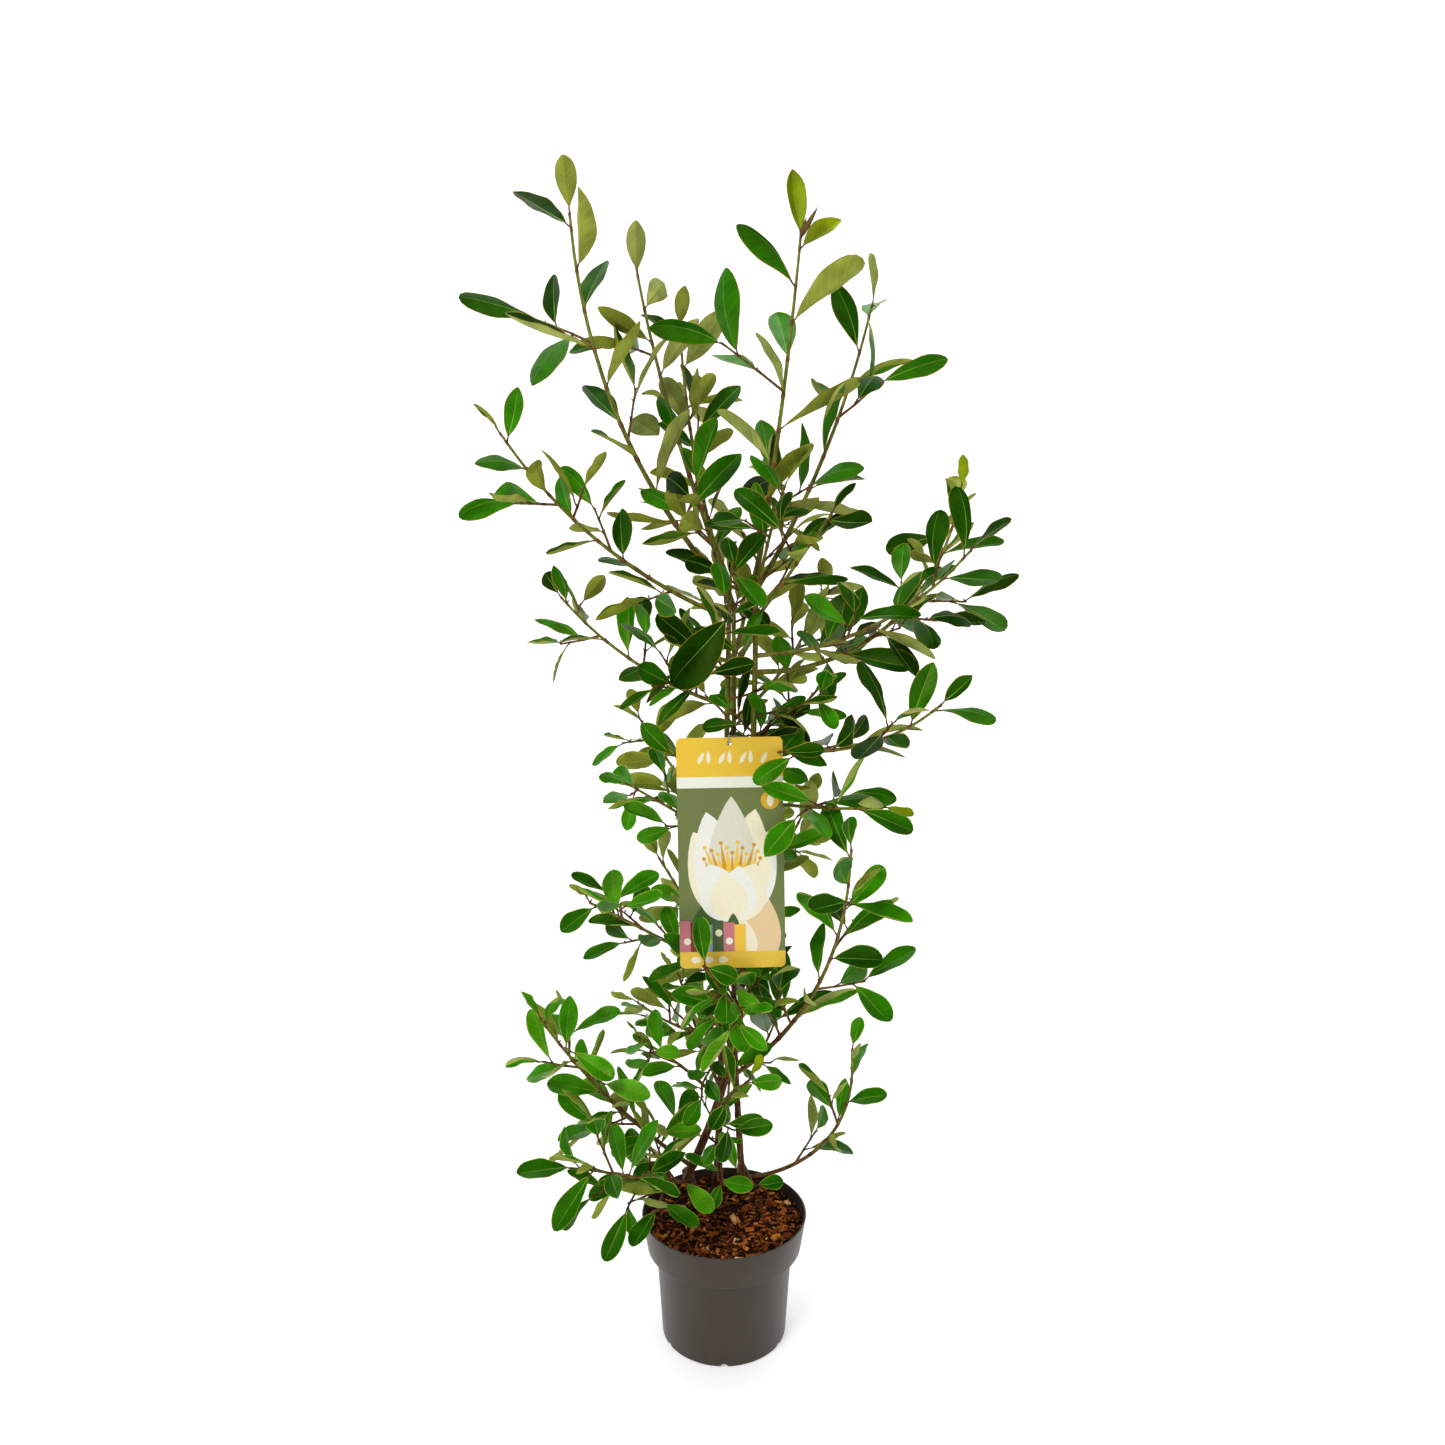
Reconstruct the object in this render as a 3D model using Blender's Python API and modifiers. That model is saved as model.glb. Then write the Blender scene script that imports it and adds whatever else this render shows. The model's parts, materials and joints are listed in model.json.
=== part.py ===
"""Evergreen magnolia with several stems, in a round nursery pot with a printed hang tag.

Metres, +Z up. The origin is the middle of the pot's flat underside.
"""
import math
import random
from collections import namedtuple

import bmesh
import bpy
from mathutils import Matrix, Vector
from mathutils.bvhtree import BVHTree

GAP = 0.0003

# Pot
POT_HEIGHT = 0.130
RIM_RADIUS = 0.085
COLLAR_FOOT_RADIUS = 0.0793
COLLAR_FOOT_Z = 0.0947
SHOULDER_RADIUS = 0.0702
BODY_FOOT_RADIUS = 0.0642
POT_WALL = 0.0015
POT_FLOOR = 0.0020
BASE_ROUND = 0.0025
TURN_STEPS = 24
DRAIN_SLOTS = 6
DRAIN_RADIUS = 0.0040
DRAIN_SIDES = 12
DRAIN_REACH = 0.010

# Potting mix
MIX_TOP = 0.120
MIX_EDGE_DROP = 0.003
MIX_FLAT_RADIUS = 0.066

# Hang tag and its loop
TAG_WIDTH = 0.101
TAG_HEIGHT = 0.221
TAG_THICKNESS = 0.0007
TAG_CORNER = 0.005
TAG_TOP = Vector((0.0046, -0.034, 0.6315))
TAG_TILT = math.radians(-5)
TAG_TURN = math.radians(-1)
TAG_HOLE_DROP = 0.0055
TAG_HOLE_RADIUS = 0.0022
TAG_CORNER_STEPS = 4
TAG_HOLE_STEPS = 12
LOOP_RADIUS = 0.0006
LOOP_TURN_RADIUS = 0.0040
LOOP_TURN_STEPS = 8
# The loop's way from the stem over the card's top edge and back through the hole, in the tag's frame
LOOP_ROUTE = ((0.0012, 0.0050, 0.0012), (0.0004, 0.0010, 0.0017), (0, -0.0011, 0.0013), (0, -0.0018, -0.0008),
              (0, -0.0016, -0.0045), (0, -0.0004, -0.0056), (-0.0006, 0.0030, -0.0057))

# Leaves, as shares of a leaf's own length and half width
LEAF_WIDTH = 0.0205
LEAF_WIDTH_AT = 0.050
LEAF_WIDTH_POWER = 0.6
LEAF_FOOT = 0.0005
LEAF_FOOT_DEPTH = 0.0006
LEAF_STATIONS = ((0.44, 0.92), (0.83, 0.86))
LEAF_KEEL_SHARE = 0.55
LEAF_KEEL_DEPTH = 0.028
LEAF_CLEAR = 0.0006
LEAF_FREE_FROM = 0.22
LEAF_LENGTHS = (0.82, 1.14)
LEAF_WIDTHS = (0.88, 1.12)
LEAF_SHRINK = 0.06
YOUNG_LEAF = 0.62
LAST_LEAF = 0.86
TRIES = 5

# How leaves and twigs stand, angles in degrees
LEAF_SPREAD = 52
TIP_LEAF_SPREAD = 16
TWIG_LEAF_SPREAD = 54
TWIG_TIP_SPREAD = 24
LEAF_BEND = (18, 46)
LEAF_ROLL = 60
SKYWARD = 0.75
LIMBWARD = 0.35
LEVEL_FLATNESS = 0.45
GOLDEN_TURN = math.radians(137.5)
TWIG_SPREAD = (42, 62)
TWIG_LENGTHS = (0.55, 0.95)
TWIG_SHIFT = 0.004
TWIG_LEAF_SITES = (0.94, 0.72, 0.40)

# Limbs
TIP_RADIUS = 0.0010
SHOOT_RADIUS = 0.0011
SHOOT_RADIUS_BY_LENGTH = 0.0036
TWIG_FOOT_RADIUS = 0.0018
TWIG_TIP_RADIUS = 0.0013
THREE_SIDED_SWELL = 1.4
TWIG_SIDES = 3
ROOT_DEPTH = 0.010
FORK_DEPTH = 0.004
FLARE_FALL = 0.008
STEP_LENGTH = 0.036
SEAT_STUB = 0.012
RIM_CLEAR = 0.006
WELD = 0.000005

Arc = namedtuple("Arc", "heading swing rise lift length")
Stem = namedtuple("Stem", "name foot arcs foot_radius radius tip_radius flare")
Shoot = namedtuple("Shoot", "name parent height heading swing rise lift length bare twigs leaf spacing seed")
Leaf = namedtuple("Leaf", "base along up length width bend young")
Twig = namedtuple("Twig", "foot along length")

# A foot is (x, y) on the mix, or the name of the limb whose tip the stem grows on from
STEMS = (
    Stem("trunk", (-0.022, 0.017), (Arc(170, 0, 58, 79, 0.046),), 0.0064, 0.0056, 0.0052, 0.0030),
    Stem("stem_main", "trunk", (Arc(-18, -6, 66, 77, 0.176), Arc(0, 0, 86, 90, 0.455)),
         0.0047, 0.0034, 0.0026, 0),
    Stem("stem_left", (-0.008, 0.055), (Arc(-80, -6, 78, 77, 0.202), Arc(0, 0, 89, 89, 0.460)),
         0.0044, 0.0031, 0.0023, 0.0020),
    Stem("stem_back", (0.021, 0.044), (Arc(-114, 0, 80, 85, 0.198), Arc(95, 0, 89, 88, 0.440)),
         0.0038, 0.0029, 0.0021, 0.0018),
)

# Angles in degrees (heading 0 is +X, 90 is +Y, away from the front), lengths in metres
SHOOTS = (
    Shoot("top_left", "stem_left", 0.768, -172, 30, 46, 85, 0.374, 0.12, 3, 0.078, 0.035, 1),
    Shoot("top_inner_left", "stem_left", 0.776, 155, -16, 65, 76, 0.329, 0.12, 3, 0.066, 0.034, 2),
    Shoot("top_back_left", "stem_back", 0.752, 134, -32, 63, 73, 0.308, 0.14, 3, 0.066, 0.034, 3),
    Shoot("top_leader", "stem_main", 0.778, -22, -11, 80, 84, 0.312, 0.08, 2, 0.084, 0.032, 4),
    Shoot("top_right", "stem_main", 0.768, 20, 16, 57, 73, 0.305, 0.16, 2, 0.072, 0.036, 5),
    Shoot("top_front_right", "stem_main", 0.741, -40, -5, 47, 48, 0.133, 0, 2, 0.064, 0.026, 6),
    Shoot("long_left", "stem_left", 0.742, -168, 10, 21, 55, 0.278, 0.14, 3, 0.062, 0.030, 7),
    Shoot("middle_left", "stem_left", 0.655, 168, -4, 16, 47, 0.205, 0.14, 3, 0.060, 0.028, 8),
    Shoot("right_front", "stem_main", 0.706, -11, -8, 3, 50, 0.232, 0.16, 4, 0.060, 0.027, 9),
    Shoot("right_back", "stem_main", 0.690, 8, 18, -2, 81, 0.303, 0.14, 4, 0.060, 0.029, 10),
    Shoot("tag_right_upper", "stem_main", 0.618, -14, -28, -10, 40, 0.202, 0.20, 2, 0.060, 0.028, 11),
    Shoot("tag_right_lower", "stem_main", 0.563, -10, -46, -6, 14, 0.146, 0.24, 1, 0.060, 0.026, 12),
    Shoot("basal_right", "stem_back", 0.142, -10, -40, 12, 96, 0.225, 0.18, 2, 0.046, 0.026, 13),
    Shoot("lower_right", "stem_main", 0.268, -11, -49, 37, 87, 0.305, 0.12, 5, 0.058, 0.027, 14),
    Shoot("foot_right", "stem_main", 0.205, -68, 22, 56, 42, 0.125, 0, 2, 0.050, 0.025, 15),
    Shoot("lower_left", "stem_main", 0.374, -158, 1, 36, 31, 0.188, 0.16, 4, 0.054, 0.025, 16),
    Shoot("lower_left_inner", "stem_left", 0.395, 142, 1, 48, 48, 0.126, 0, 2, 0.052, 0.024, 17),
    Shoot("foot_left_back", "stem_left", 0.313, 148, -3, -8, 22, 0.110, 0, 2, 0.050, 0.024, 18),
    Shoot("foot_left", "stem_main", 0.247, -150, -4, 51, 36, 0.122, 0, 2, 0.048, 0.025, 19),
    Shoot("foot_left_upright", "stem_left", 0.250, 150, -10, 62, 67, 0.125, 0, 1, 0.048, 0.025, 20),
    Shoot("long_low_left", "stem_main", 0.168, -153, 13, 43, 57, 0.262, 0.14, 3, 0.054, 0.027, 21),
    Shoot("basal_left", "trunk", 0.150, -131, 12, 24, 34, 0.172, 0.16, 4, 0.054, 0.023, 22),
    Shoot("front_low", "stem_main", 0.362, -98, 10, 10, 12, 0.070, 0, 2, 0.056, 0.020, 23),
    Shoot("front_high", "stem_left", 0.700, -125, 10, 16, 6, 0.075, 0, 1, 0.070, 0.024, 24),
    Shoot("back_high", "stem_back", 0.700, 78, -10, 35, 66, 0.250, 0.16, 3, 0.064, 0.030, 25),
    Shoot("back_right_high", "stem_back", 0.640, 48, 12, 22, 52, 0.210, 0.16, 2, 0.060, 0.028, 26),
    Shoot("back_left_middle", "stem_back", 0.520, 122, 14, 18, 46, 0.200, 0.16, 2, 0.058, 0.026, 27),
    Shoot("back_right_middle", "stem_back", 0.420, 62, -12, 24, 48, 0.195, 0, 2, 0.056, 0.026, 28),
    Shoot("back_low", "stem_back", 0.250, 100, 10, 34, 50, 0.170, 0, 2, 0.052, 0.025, 29),
    Shoot("middle_left_low", "stem_left", 0.520, 172, 8, 30, 30, 0.110, 0, 2, 0.054, 0.024, 30),
    Shoot("middle_right_high", "stem_main", 0.600, 20, 10, 48, 40, 0.100, 0, 2, 0.054, 0.024, 31),
    Shoot("centre_left_high", "stem_left", 0.753, -112, -20, 58, 62, 0.115, 0, 2, 0.058, 0.024, 32),
    Shoot("centre_right_high", "stem_main", 0.752, -75, 20, 66, 60, 0.125, 0, 2, 0.062, 0.026, 33),
)


# Scene and objects
def clear_scene():
    for item in list(bpy.data.objects):
        bpy.data.objects.remove(item, do_unlink=True)


def new_collection(name):
    collection = bpy.data.collections.new(name)
    bpy.context.scene.collection.children.link(collection)
    return collection


def new_material(name, colour, roughness):
    material = bpy.data.materials.new(name)
    material.use_nodes = True
    shader = material.node_tree.nodes["Principled BSDF"]
    shader.inputs["Base Color"].default_value = (*colour, 1)
    shader.inputs["Roughness"].default_value = roughness
    shader.inputs["Metallic"].default_value = 0
    return material


def add_object(name, data, collection, material=None):
    item = bpy.data.objects.new(name, data)
    if material:
        item.data.materials.append(material)
    collection.objects.link(item)
    return item


def add_mesh(name, bm, collection, material=None):
    """Turns a bmesh into an object, with its faces pointing out."""
    bmesh.ops.recalc_face_normals(bm, faces=bm.faces)
    data = bpy.data.meshes.new(name)
    bm.to_mesh(data)
    bm.free()
    return add_object(name, data, collection, material)


def finished_mesh(item):
    """A new mesh of an object as its curve settings and modifiers make it."""
    graph = bpy.context.evaluated_depsgraph_get()
    return bpy.data.meshes.new_from_object(item.evaluated_get(graph), depsgraph=graph)


def apply_modifiers(item):
    data = finished_mesh(item)
    item.modifiers.clear()
    item.data = data


def curve_to_bmesh(source):
    """Takes a curve object's shape into a bmesh, with its caps welded on, and removes the object."""
    data = finished_mesh(source)
    bm = bmesh.new()
    bm.from_mesh(data)
    bmesh.ops.remove_doubles(bm, verts=bm.verts, dist=WELD)
    bpy.data.objects.remove(source, do_unlink=True)
    bpy.data.meshes.remove(data)
    return bm


def add_polyline(curve, points, cyclic=False):
    spline = curve.splines.new('POLY')
    spline.points.add(len(points) - 1)
    for knot, point in zip(spline.points, points):
        knot.co = (*point, 1)
    spline.use_cyclic_u = cyclic
    return spline


def cut_with(item, cutter):
    cut = item.modifiers.new("cut", 'BOOLEAN')
    cut.operation = 'DIFFERENCE'
    cut.object = cutter
    cut.solver = 'EXACT'
    return cut


def shade_round(item):
    item.data.shade_smooth()
    item.data.set_sharp_from_angle(angle=math.radians(40))


# Turned pieces
def turned(name, profile, collection, material):
    """Turns a list of (radius, height) about Z; it starts and ends on the axis."""
    bm = bmesh.new()
    points = [bm.verts.new((radius, 0, height)) for radius, height in profile]
    for start, end in zip(points, points[1:]):
        bm.edges.new((start, end))
    data = bpy.data.meshes.new(name)
    bm.to_mesh(data)
    bm.free()
    item = add_object(name, data, collection, material)
    screw = item.modifiers.new("turn", 'SCREW')
    screw.steps = screw.render_steps = TURN_STEPS
    screw.use_merge_vertices = True
    screw.merge_threshold = 0.00005
    screw.use_smooth_shade = True
    return item


def pot_inner_profile(clearance):
    """The pot's inner side from the axis up to the rim, moved inwards by a clearance."""
    wall = POT_WALL + clearance
    return [
        (0, POT_FLOOR + clearance),
        (BODY_FOOT_RADIUS - wall - BASE_ROUND, POT_FLOOR + clearance),
        (BODY_FOOT_RADIUS - wall, POT_FLOOR + clearance + BASE_ROUND),
        (SHOULDER_RADIUS - wall, COLLAR_FOOT_Z + POT_WALL + clearance),
        (COLLAR_FOOT_RADIUS - wall, COLLAR_FOOT_Z + POT_WALL + clearance),
        (RIM_RADIUS - wall, POT_HEIGHT),
    ]


def make_pot(collection, cutters, material):
    outer = [
        (RIM_RADIUS, POT_HEIGHT),
        (COLLAR_FOOT_RADIUS, COLLAR_FOOT_Z),
        (SHOULDER_RADIUS, COLLAR_FOOT_Z),
        (BODY_FOOT_RADIUS, BASE_ROUND),
        (BODY_FOOT_RADIUS - BASE_ROUND, 0),
        (0, 0),
    ]
    pot = turned("pot", pot_inner_profile(0) + outer, collection, material)
    for index in range(DRAIN_SLOTS):
        turn = math.tau * (index + 0.5) / DRAIN_SLOTS
        bm = bmesh.new()
        bmesh.ops.create_cone(bm, cap_ends=True, segments=DRAIN_SIDES, radius1=DRAIN_RADIUS,
                              radius2=DRAIN_RADIUS, depth=DRAIN_REACH)
        slot = add_mesh(f"drain_cutter_{index + 1}", bm, cutters)
        slot.rotation_euler = (math.pi / 2, 0, turn + math.pi / 2)
        slot.location = (BODY_FOOT_RADIUS * math.cos(turn), BODY_FOOT_RADIUS * math.sin(turn), 0)
        cut_with(pot, slot)


def make_mix(collection, material):
    share = (MIX_TOP - MIX_EDGE_DROP - COLLAR_FOOT_Z) / (POT_HEIGHT - COLLAR_FOOT_Z)
    edge_radius = COLLAR_FOOT_RADIUS + share * (RIM_RADIUS - COLLAR_FOOT_RADIUS) - POT_WALL - GAP
    side = pot_inner_profile(GAP)[:-1]
    top = [(0, MIX_TOP), (MIX_FLAT_RADIUS, MIX_TOP), (edge_radius, MIX_TOP - MIX_EDGE_DROP)]
    turned("potting_mix", top + side[::-1], collection, material)


# Limb paths
def direction(heading, rise):
    heading, rise = math.radians(heading), math.radians(rise)
    return Vector((math.cos(rise) * math.cos(heading), math.cos(rise) * math.sin(heading), math.sin(rise)))


def course(start, arc):
    """Points along a limb that turns evenly from one heading and rise to the next."""
    steps = max(3, round(arc.length / STEP_LENGTH))
    points = [Vector(start)]
    for step in range(steps):
        share = (step + 0.5) / steps
        way = direction(arc.heading + arc.swing * share, arc.rise + (arc.lift - arc.rise) * share)
        points.append(points[-1] + way * (arc.length / steps))
    return points


def along_path(points, distance):
    """The point and the direction at a distance along a path."""
    for start, end in zip(points, points[1:]):
        length = (end - start).length
        if distance <= length:
            break
        distance -= length
    way = (end - start).normalized()
    return start + way * distance, way


def path_length(points):
    return sum((end - start).length for start, end in zip(points, points[1:]))


def point_at_height(points, height):
    for start, end in zip(points, points[1:]):
        if end.z >= height:
            return start.lerp(end, (height - start.z) / (end.z - start.z))
    return points[-1].copy()


def split_path(points, distance):
    """Cuts a path at a distance from its foot, and gives both parts."""
    head = [points[0]]
    for start, end in zip(points, points[1:]):
        length = (end - start).length
        if distance <= length:
            break
        distance -= length
        head.append(end)
    middle = start + (end - start).normalized() * distance
    return head + [middle], [middle] + points[len(head):]


def stem_path(stem, paths):
    if isinstance(stem.foot, str):
        parent = paths[stem.foot]
        points = [parent[-1] - (parent[-1] - parent[-2]).normalized() * FORK_DEPTH]
    else:
        way = direction(stem.arcs[0].heading, stem.arcs[0].rise)
        points = [Vector((*stem.foot, MIX_TOP)) - way * ROOT_DEPTH, Vector((*stem.foot, MIX_TOP))]
    for arc in stem.arcs:
        points += course(points[-1], arc)[1:]
    return points


def stem_radii(stem, points):
    """Radii that taper evenly above the first arc, with a flare at the mix."""
    knee = stem.arcs[0].length
    radii, travelled = [], 0
    for index, point in enumerate(points):
        if index:
            travelled += (point - points[index - 1]).length
        share = min(1, travelled / knee)
        radius = stem.foot_radius + share * (stem.radius - stem.foot_radius)
        beyond = max(0, travelled - knee) / max(STEP_LENGTH, path_length(points) - knee)
        radius += beyond * (stem.tip_radius - stem.radius)
        height = max(0, point.z - MIX_TOP)
        radii.append(radius + stem.flare * math.exp(-height / FLARE_FALL))
    return radii


def shoot_radius(shoot, share):
    foot = SHOOT_RADIUS + SHOOT_RADIUS_BY_LENGTH * shoot.length
    return foot + share * (TIP_RADIUS - foot)


# Limb solids
def tube(name, points, radii, resolution, collection, material=None, section=None):
    """A closed mesh tube along a path, made from a bevelled curve with filled caps."""
    curve = bpy.data.curves.new(name, 'CURVE')
    curve.dimensions = '3D'
    curve.bevel_depth = 1
    curve.bevel_resolution = resolution
    curve.use_fill_caps = True
    if section:
        curve.bevel_mode = 'OBJECT'
        curve.bevel_object = section
    spline = add_polyline(curve, points)
    for knot, radius in zip(spline.points, radii):
        knot.radius = radius
    bm = curve_to_bmesh(add_object(name + "_curve", curve, collection))
    return add_mesh(name, bm, collection, material)


def three_sided_section(guides):
    """The section that leafy stems are swept with: a triangle as stout as the round stem."""
    curve = bpy.data.curves.new("three_sided_section", 'CURVE')
    curve.dimensions = '2D'
    turns = [math.tau * index / TWIG_SIDES for index in range(TWIG_SIDES)]
    ring = [(THREE_SIDED_SWELL * math.cos(turn), THREE_SIDED_SWELL * math.sin(turn), 0) for turn in turns]
    add_polyline(curve, ring, cyclic=True)
    return add_object("three_sided_section", curve, guides)


def clearance_tube(name, points, radii, cutters):
    """A limb's own shape, a gap larger all round, that seats the limbs growing from it."""
    first, last = points[0], points[-1]
    foot = first - (points[1] - first).normalized() * GAP
    tip = last + (last - points[-2]).normalized() * GAP
    return tube(name, [foot] + points[1:-1] + [tip], [radius + GAP for radius in radii], 1, cutters)


def make_stems(collection, cutters, material):
    """Makes the trunk and stems, and gives their paths, radii and clearance tubes."""
    bm = bmesh.new()
    bmesh.ops.create_cube(bm, size=2 * RIM_RADIUS)
    ground = add_mesh("ground_cutter", bm, cutters)
    ground.location = (0, 0, MIX_TOP + GAP - RIM_RADIUS)
    paths, seats = {}, {}
    for stem in STEMS:
        paths[stem.name] = stem_path(stem, paths)
        radii = stem_radii(stem, paths[stem.name])
        item = tube(stem.name, paths[stem.name], radii, 1, collection, material)
        seats[stem.name] = clearance_tube(stem.name + "_seat_cutter", paths[stem.name], radii, cutters)
        cut_with(item, seats[stem.foot] if isinstance(stem.foot, str) else ground)
        shade_round(item)
    return paths, seats


# Leaves
def blade_point(leaf, share, across, lift):
    """A point of the bent blade: a share of its length, a way across and a way up."""
    turn = leaf.bend * share
    reach = leaf.length * math.sin(turn) / leaf.bend
    sink = leaf.length * (1 - math.cos(turn)) / leaf.bend
    normal = leaf.up * math.cos(turn) + leaf.along * math.sin(turn)
    side = leaf.along.cross(leaf.up)
    return leaf.base + leaf.along * reach - leaf.up * sink + side * across + normal * lift


def leaf_shell(leaf, start=0.0, swell=0.0):
    """Corners and faces of a keeled leaf, from a share of its length on, swollen all round."""
    half = leaf.width / 2
    foot_share = start / LEAF_STATIONS[0][0]
    foot_half = LEAF_FOOT + foot_share * (half * LEAF_STATIONS[0][1] - LEAF_FOOT)
    stations = [(start, foot_half)] + [(share, half * width) for share, width in LEAF_STATIONS]
    corners = []
    for share, width in stations:
        corners.append(blade_point(leaf, share, width + swell, swell))
        corners.append(blade_point(leaf, share, -width - swell, swell))
    corners.append(blade_point(leaf, 1 + swell / leaf.length, 0, 0))
    keel = leaf.length * LEAF_KEEL_DEPTH + swell
    foot_depth = LEAF_FOOT_DEPTH + foot_share * (keel - LEAF_FOOT_DEPTH)
    corners.append(blade_point(leaf, start, 0, -foot_depth - swell))
    corners.append(blade_point(leaf, LEAF_KEEL_SHARE, 0, -keel))
    tip, foot_keel, keel_corner = 6, 7, 8
    faces = [(0, 1, 3, 2), (2, 3, 5, 4), (4, 5, tip), (0, foot_keel, 1)]
    for a, b, c in ((0, 2, 4), (1, 3, 5)):
        faces += [(a, foot_keel, keel_corner), (a, keel_corner, b), (b, keel_corner, c), (c, keel_corner, tip)]
    return corners, faces


def solid_from(corners, faces):
    bm = bmesh.new()
    verts = [bm.verts.new(corner) for corner in corners]
    for face in faces:
        bm.faces.new([verts[index] for index in face])
    return bm


def twig_shell(twig, swell=0.0):
    """Corners and faces of a straight three-sided twig."""
    side = twig.along.orthogonal().normalized()
    corners = []
    for distance, radius in ((0, TWIG_FOOT_RADIUS), (twig.length, TWIG_TIP_RADIUS)):
        for index in range(TWIG_SIDES):
            spoke = Matrix.Rotation(math.tau * index / TWIG_SIDES, 3, twig.along) @ side
            corners.append(twig.foot + twig.along * distance + spoke * (radius + swell))
    faces = [(0, 1, 2), (3, 5, 4), (0, 3, 4, 1), (1, 4, 5, 2), (2, 5, 3, 0)]
    return corners, faces


def blade_up(along, axis, rng):
    """The blade's upper side: mostly skyward and partly towards the limb, rolled a little."""
    up = Vector((0, 0, 1)) * SKYWARD + axis * LIMBWARD
    up -= along * up.dot(along)
    if up.length < 0.15:
        up = axis - along * axis.dot(along)
    up.normalize()
    return Matrix.Rotation(math.radians(rng.uniform(-LEAF_ROLL, LEAF_ROLL)), 3, along) @ up


def site_side(axis, turn):
    """A direction square to a limb: sideways for a level limb, all round for an upright one."""
    level = Vector((0, 0, 1)).cross(axis)
    if level.length < 0.05:
        level = Vector((1, 0, 0)).cross(axis)
    level.normalize()
    upward = axis.cross(level)
    flatness = LEVEL_FLATNESS + (1 - LEVEL_FLATNESS) * abs(axis.z)
    return (level * math.cos(turn) + upward * math.sin(turn) * flatness).normalized()


def new_leaf(base, axis, turn, spread, length, rng, young=False):
    along = (axis * math.cos(spread) + site_side(axis, turn) * math.sin(spread)).normalized()
    length *= rng.uniform(*LEAF_LENGTHS)
    width = LEAF_WIDTH * (length / LEAF_WIDTH_AT) ** LEAF_WIDTH_POWER * rng.uniform(*LEAF_WIDTHS)
    bend = math.radians(rng.uniform(*LEAF_BEND))
    up = blade_up(along, axis, rng)
    start = (along * math.cos(bend / 2) + up * math.sin(bend / 2)).normalized()
    return Leaf(base, start, (up - start * up.dot(start)).normalized(), length, width, bend, young)


# Growing the masses
class Space:
    """What is already in place, as search trees with the sphere round each."""

    def __init__(self):
        self.items = []

    def add(self, corners, faces, owner):
        centre = sum(corners, Vector()) / len(corners)
        radius = max((corner - centre).length for corner in corners)
        self.items.append((BVHTree.FromPolygons(corners, faces), centre, radius, owner))

    def hits(self, corners, faces, skip=()):
        centre = sum(corners, Vector()) / len(corners)
        radius = max((corner - centre).length for corner in corners)
        tree = None
        for other, middle, reach, owner in self.items:
            if owner in skip or (middle - centre).length > reach + radius:
                continue
            tree = tree or BVHTree.FromPolygons(corners, faces)
            if tree.overlap(other):
                return True
        return False


def mesh_shell(item):
    """Corners and faces of an object as its modifiers leave it."""
    data = finished_mesh(item)
    corners = [item.matrix_world @ vertex.co for vertex in data.vertices]
    faces = [tuple(face.vertices) for face in data.polygons]
    bpy.data.meshes.remove(data)
    return corners, faces


def below_floor(corners):
    """Whether something reaches down too near the mix or the pot's rim."""
    for corner in corners:
        beside_rim = abs(corner.xy.length - RIM_RADIUS) < RIM_CLEAR
        if corner.z < MIX_TOP + RIM_CLEAR or (beside_rim and corner.z < POT_HEIGHT + RIM_CLEAR):
            return True
    return False


def grow_twigs(shoot, path, space, rng):
    """Side twigs along a mass's stem, each tried at a few turns until it is clear."""
    twigs = []
    reach = path_length(path)
    for index in range(shoot.twigs):
        distance = reach * (index + 0.35) / (shoot.twigs + 0.5)
        for _ in range(TRIES):
            foot, axis = along_path(path, distance + rng.uniform(-TWIG_SHIFT, TWIG_SHIFT))
            side = site_side(axis, index * GOLDEN_TURN + rng.uniform(-1.2, 1.2))
            spread = math.radians(rng.uniform(*TWIG_SPREAD))
            length = shoot.leaf * rng.uniform(*TWIG_LENGTHS)
            twig = Twig(foot, (axis * math.cos(spread) + side * math.sin(spread)).normalized(), length)
            corners, faces = twig_shell(twig, LEAF_CLEAR)
            if space.hits(corners, faces, skip=(shoot.name,)) or below_floor(corners):
                continue
            space.add(*twig_shell(twig), shoot.name)
            twigs.append(twig)
            break
    return twigs


def leaf_sites(shoot, path, twigs, rng):
    """Where leaves sit: alternately up the stem, then along each twig, with one at each tip."""
    sites = []
    reach = path_length(path)
    count = int((reach - 0.006) / shoot.spacing)
    turn = rng.uniform(0, math.tau)
    for index in range(count):
        distance = reach - shoot.spacing * (index + 0.35)
        base, axis = along_path(path, distance)
        size = shoot.leaf * (1 if index else LAST_LEAF)
        sites.append((base, axis, turn + index * GOLDEN_TURN, math.radians(LEAF_SPREAD), size, index == 0))
    tip, axis = along_path(path, reach - 0.001)
    sites.append((tip, axis, turn + 2, math.radians(TIP_LEAF_SPREAD), shoot.leaf * YOUNG_LEAF, True))
    for twig in twigs:
        turn = rng.uniform(0, math.tau)
        for share in TWIG_LEAF_SITES:
            base = twig.foot + twig.along * (twig.length * share)
            spread = math.radians(TWIG_TIP_SPREAD if share == TWIG_LEAF_SITES[0] else TWIG_LEAF_SPREAD)
            sites.append((base, twig.along, turn, spread, shoot.leaf * (1.08 - 0.2 * share), False))
            turn += GOLDEN_TURN
    return sites


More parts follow.
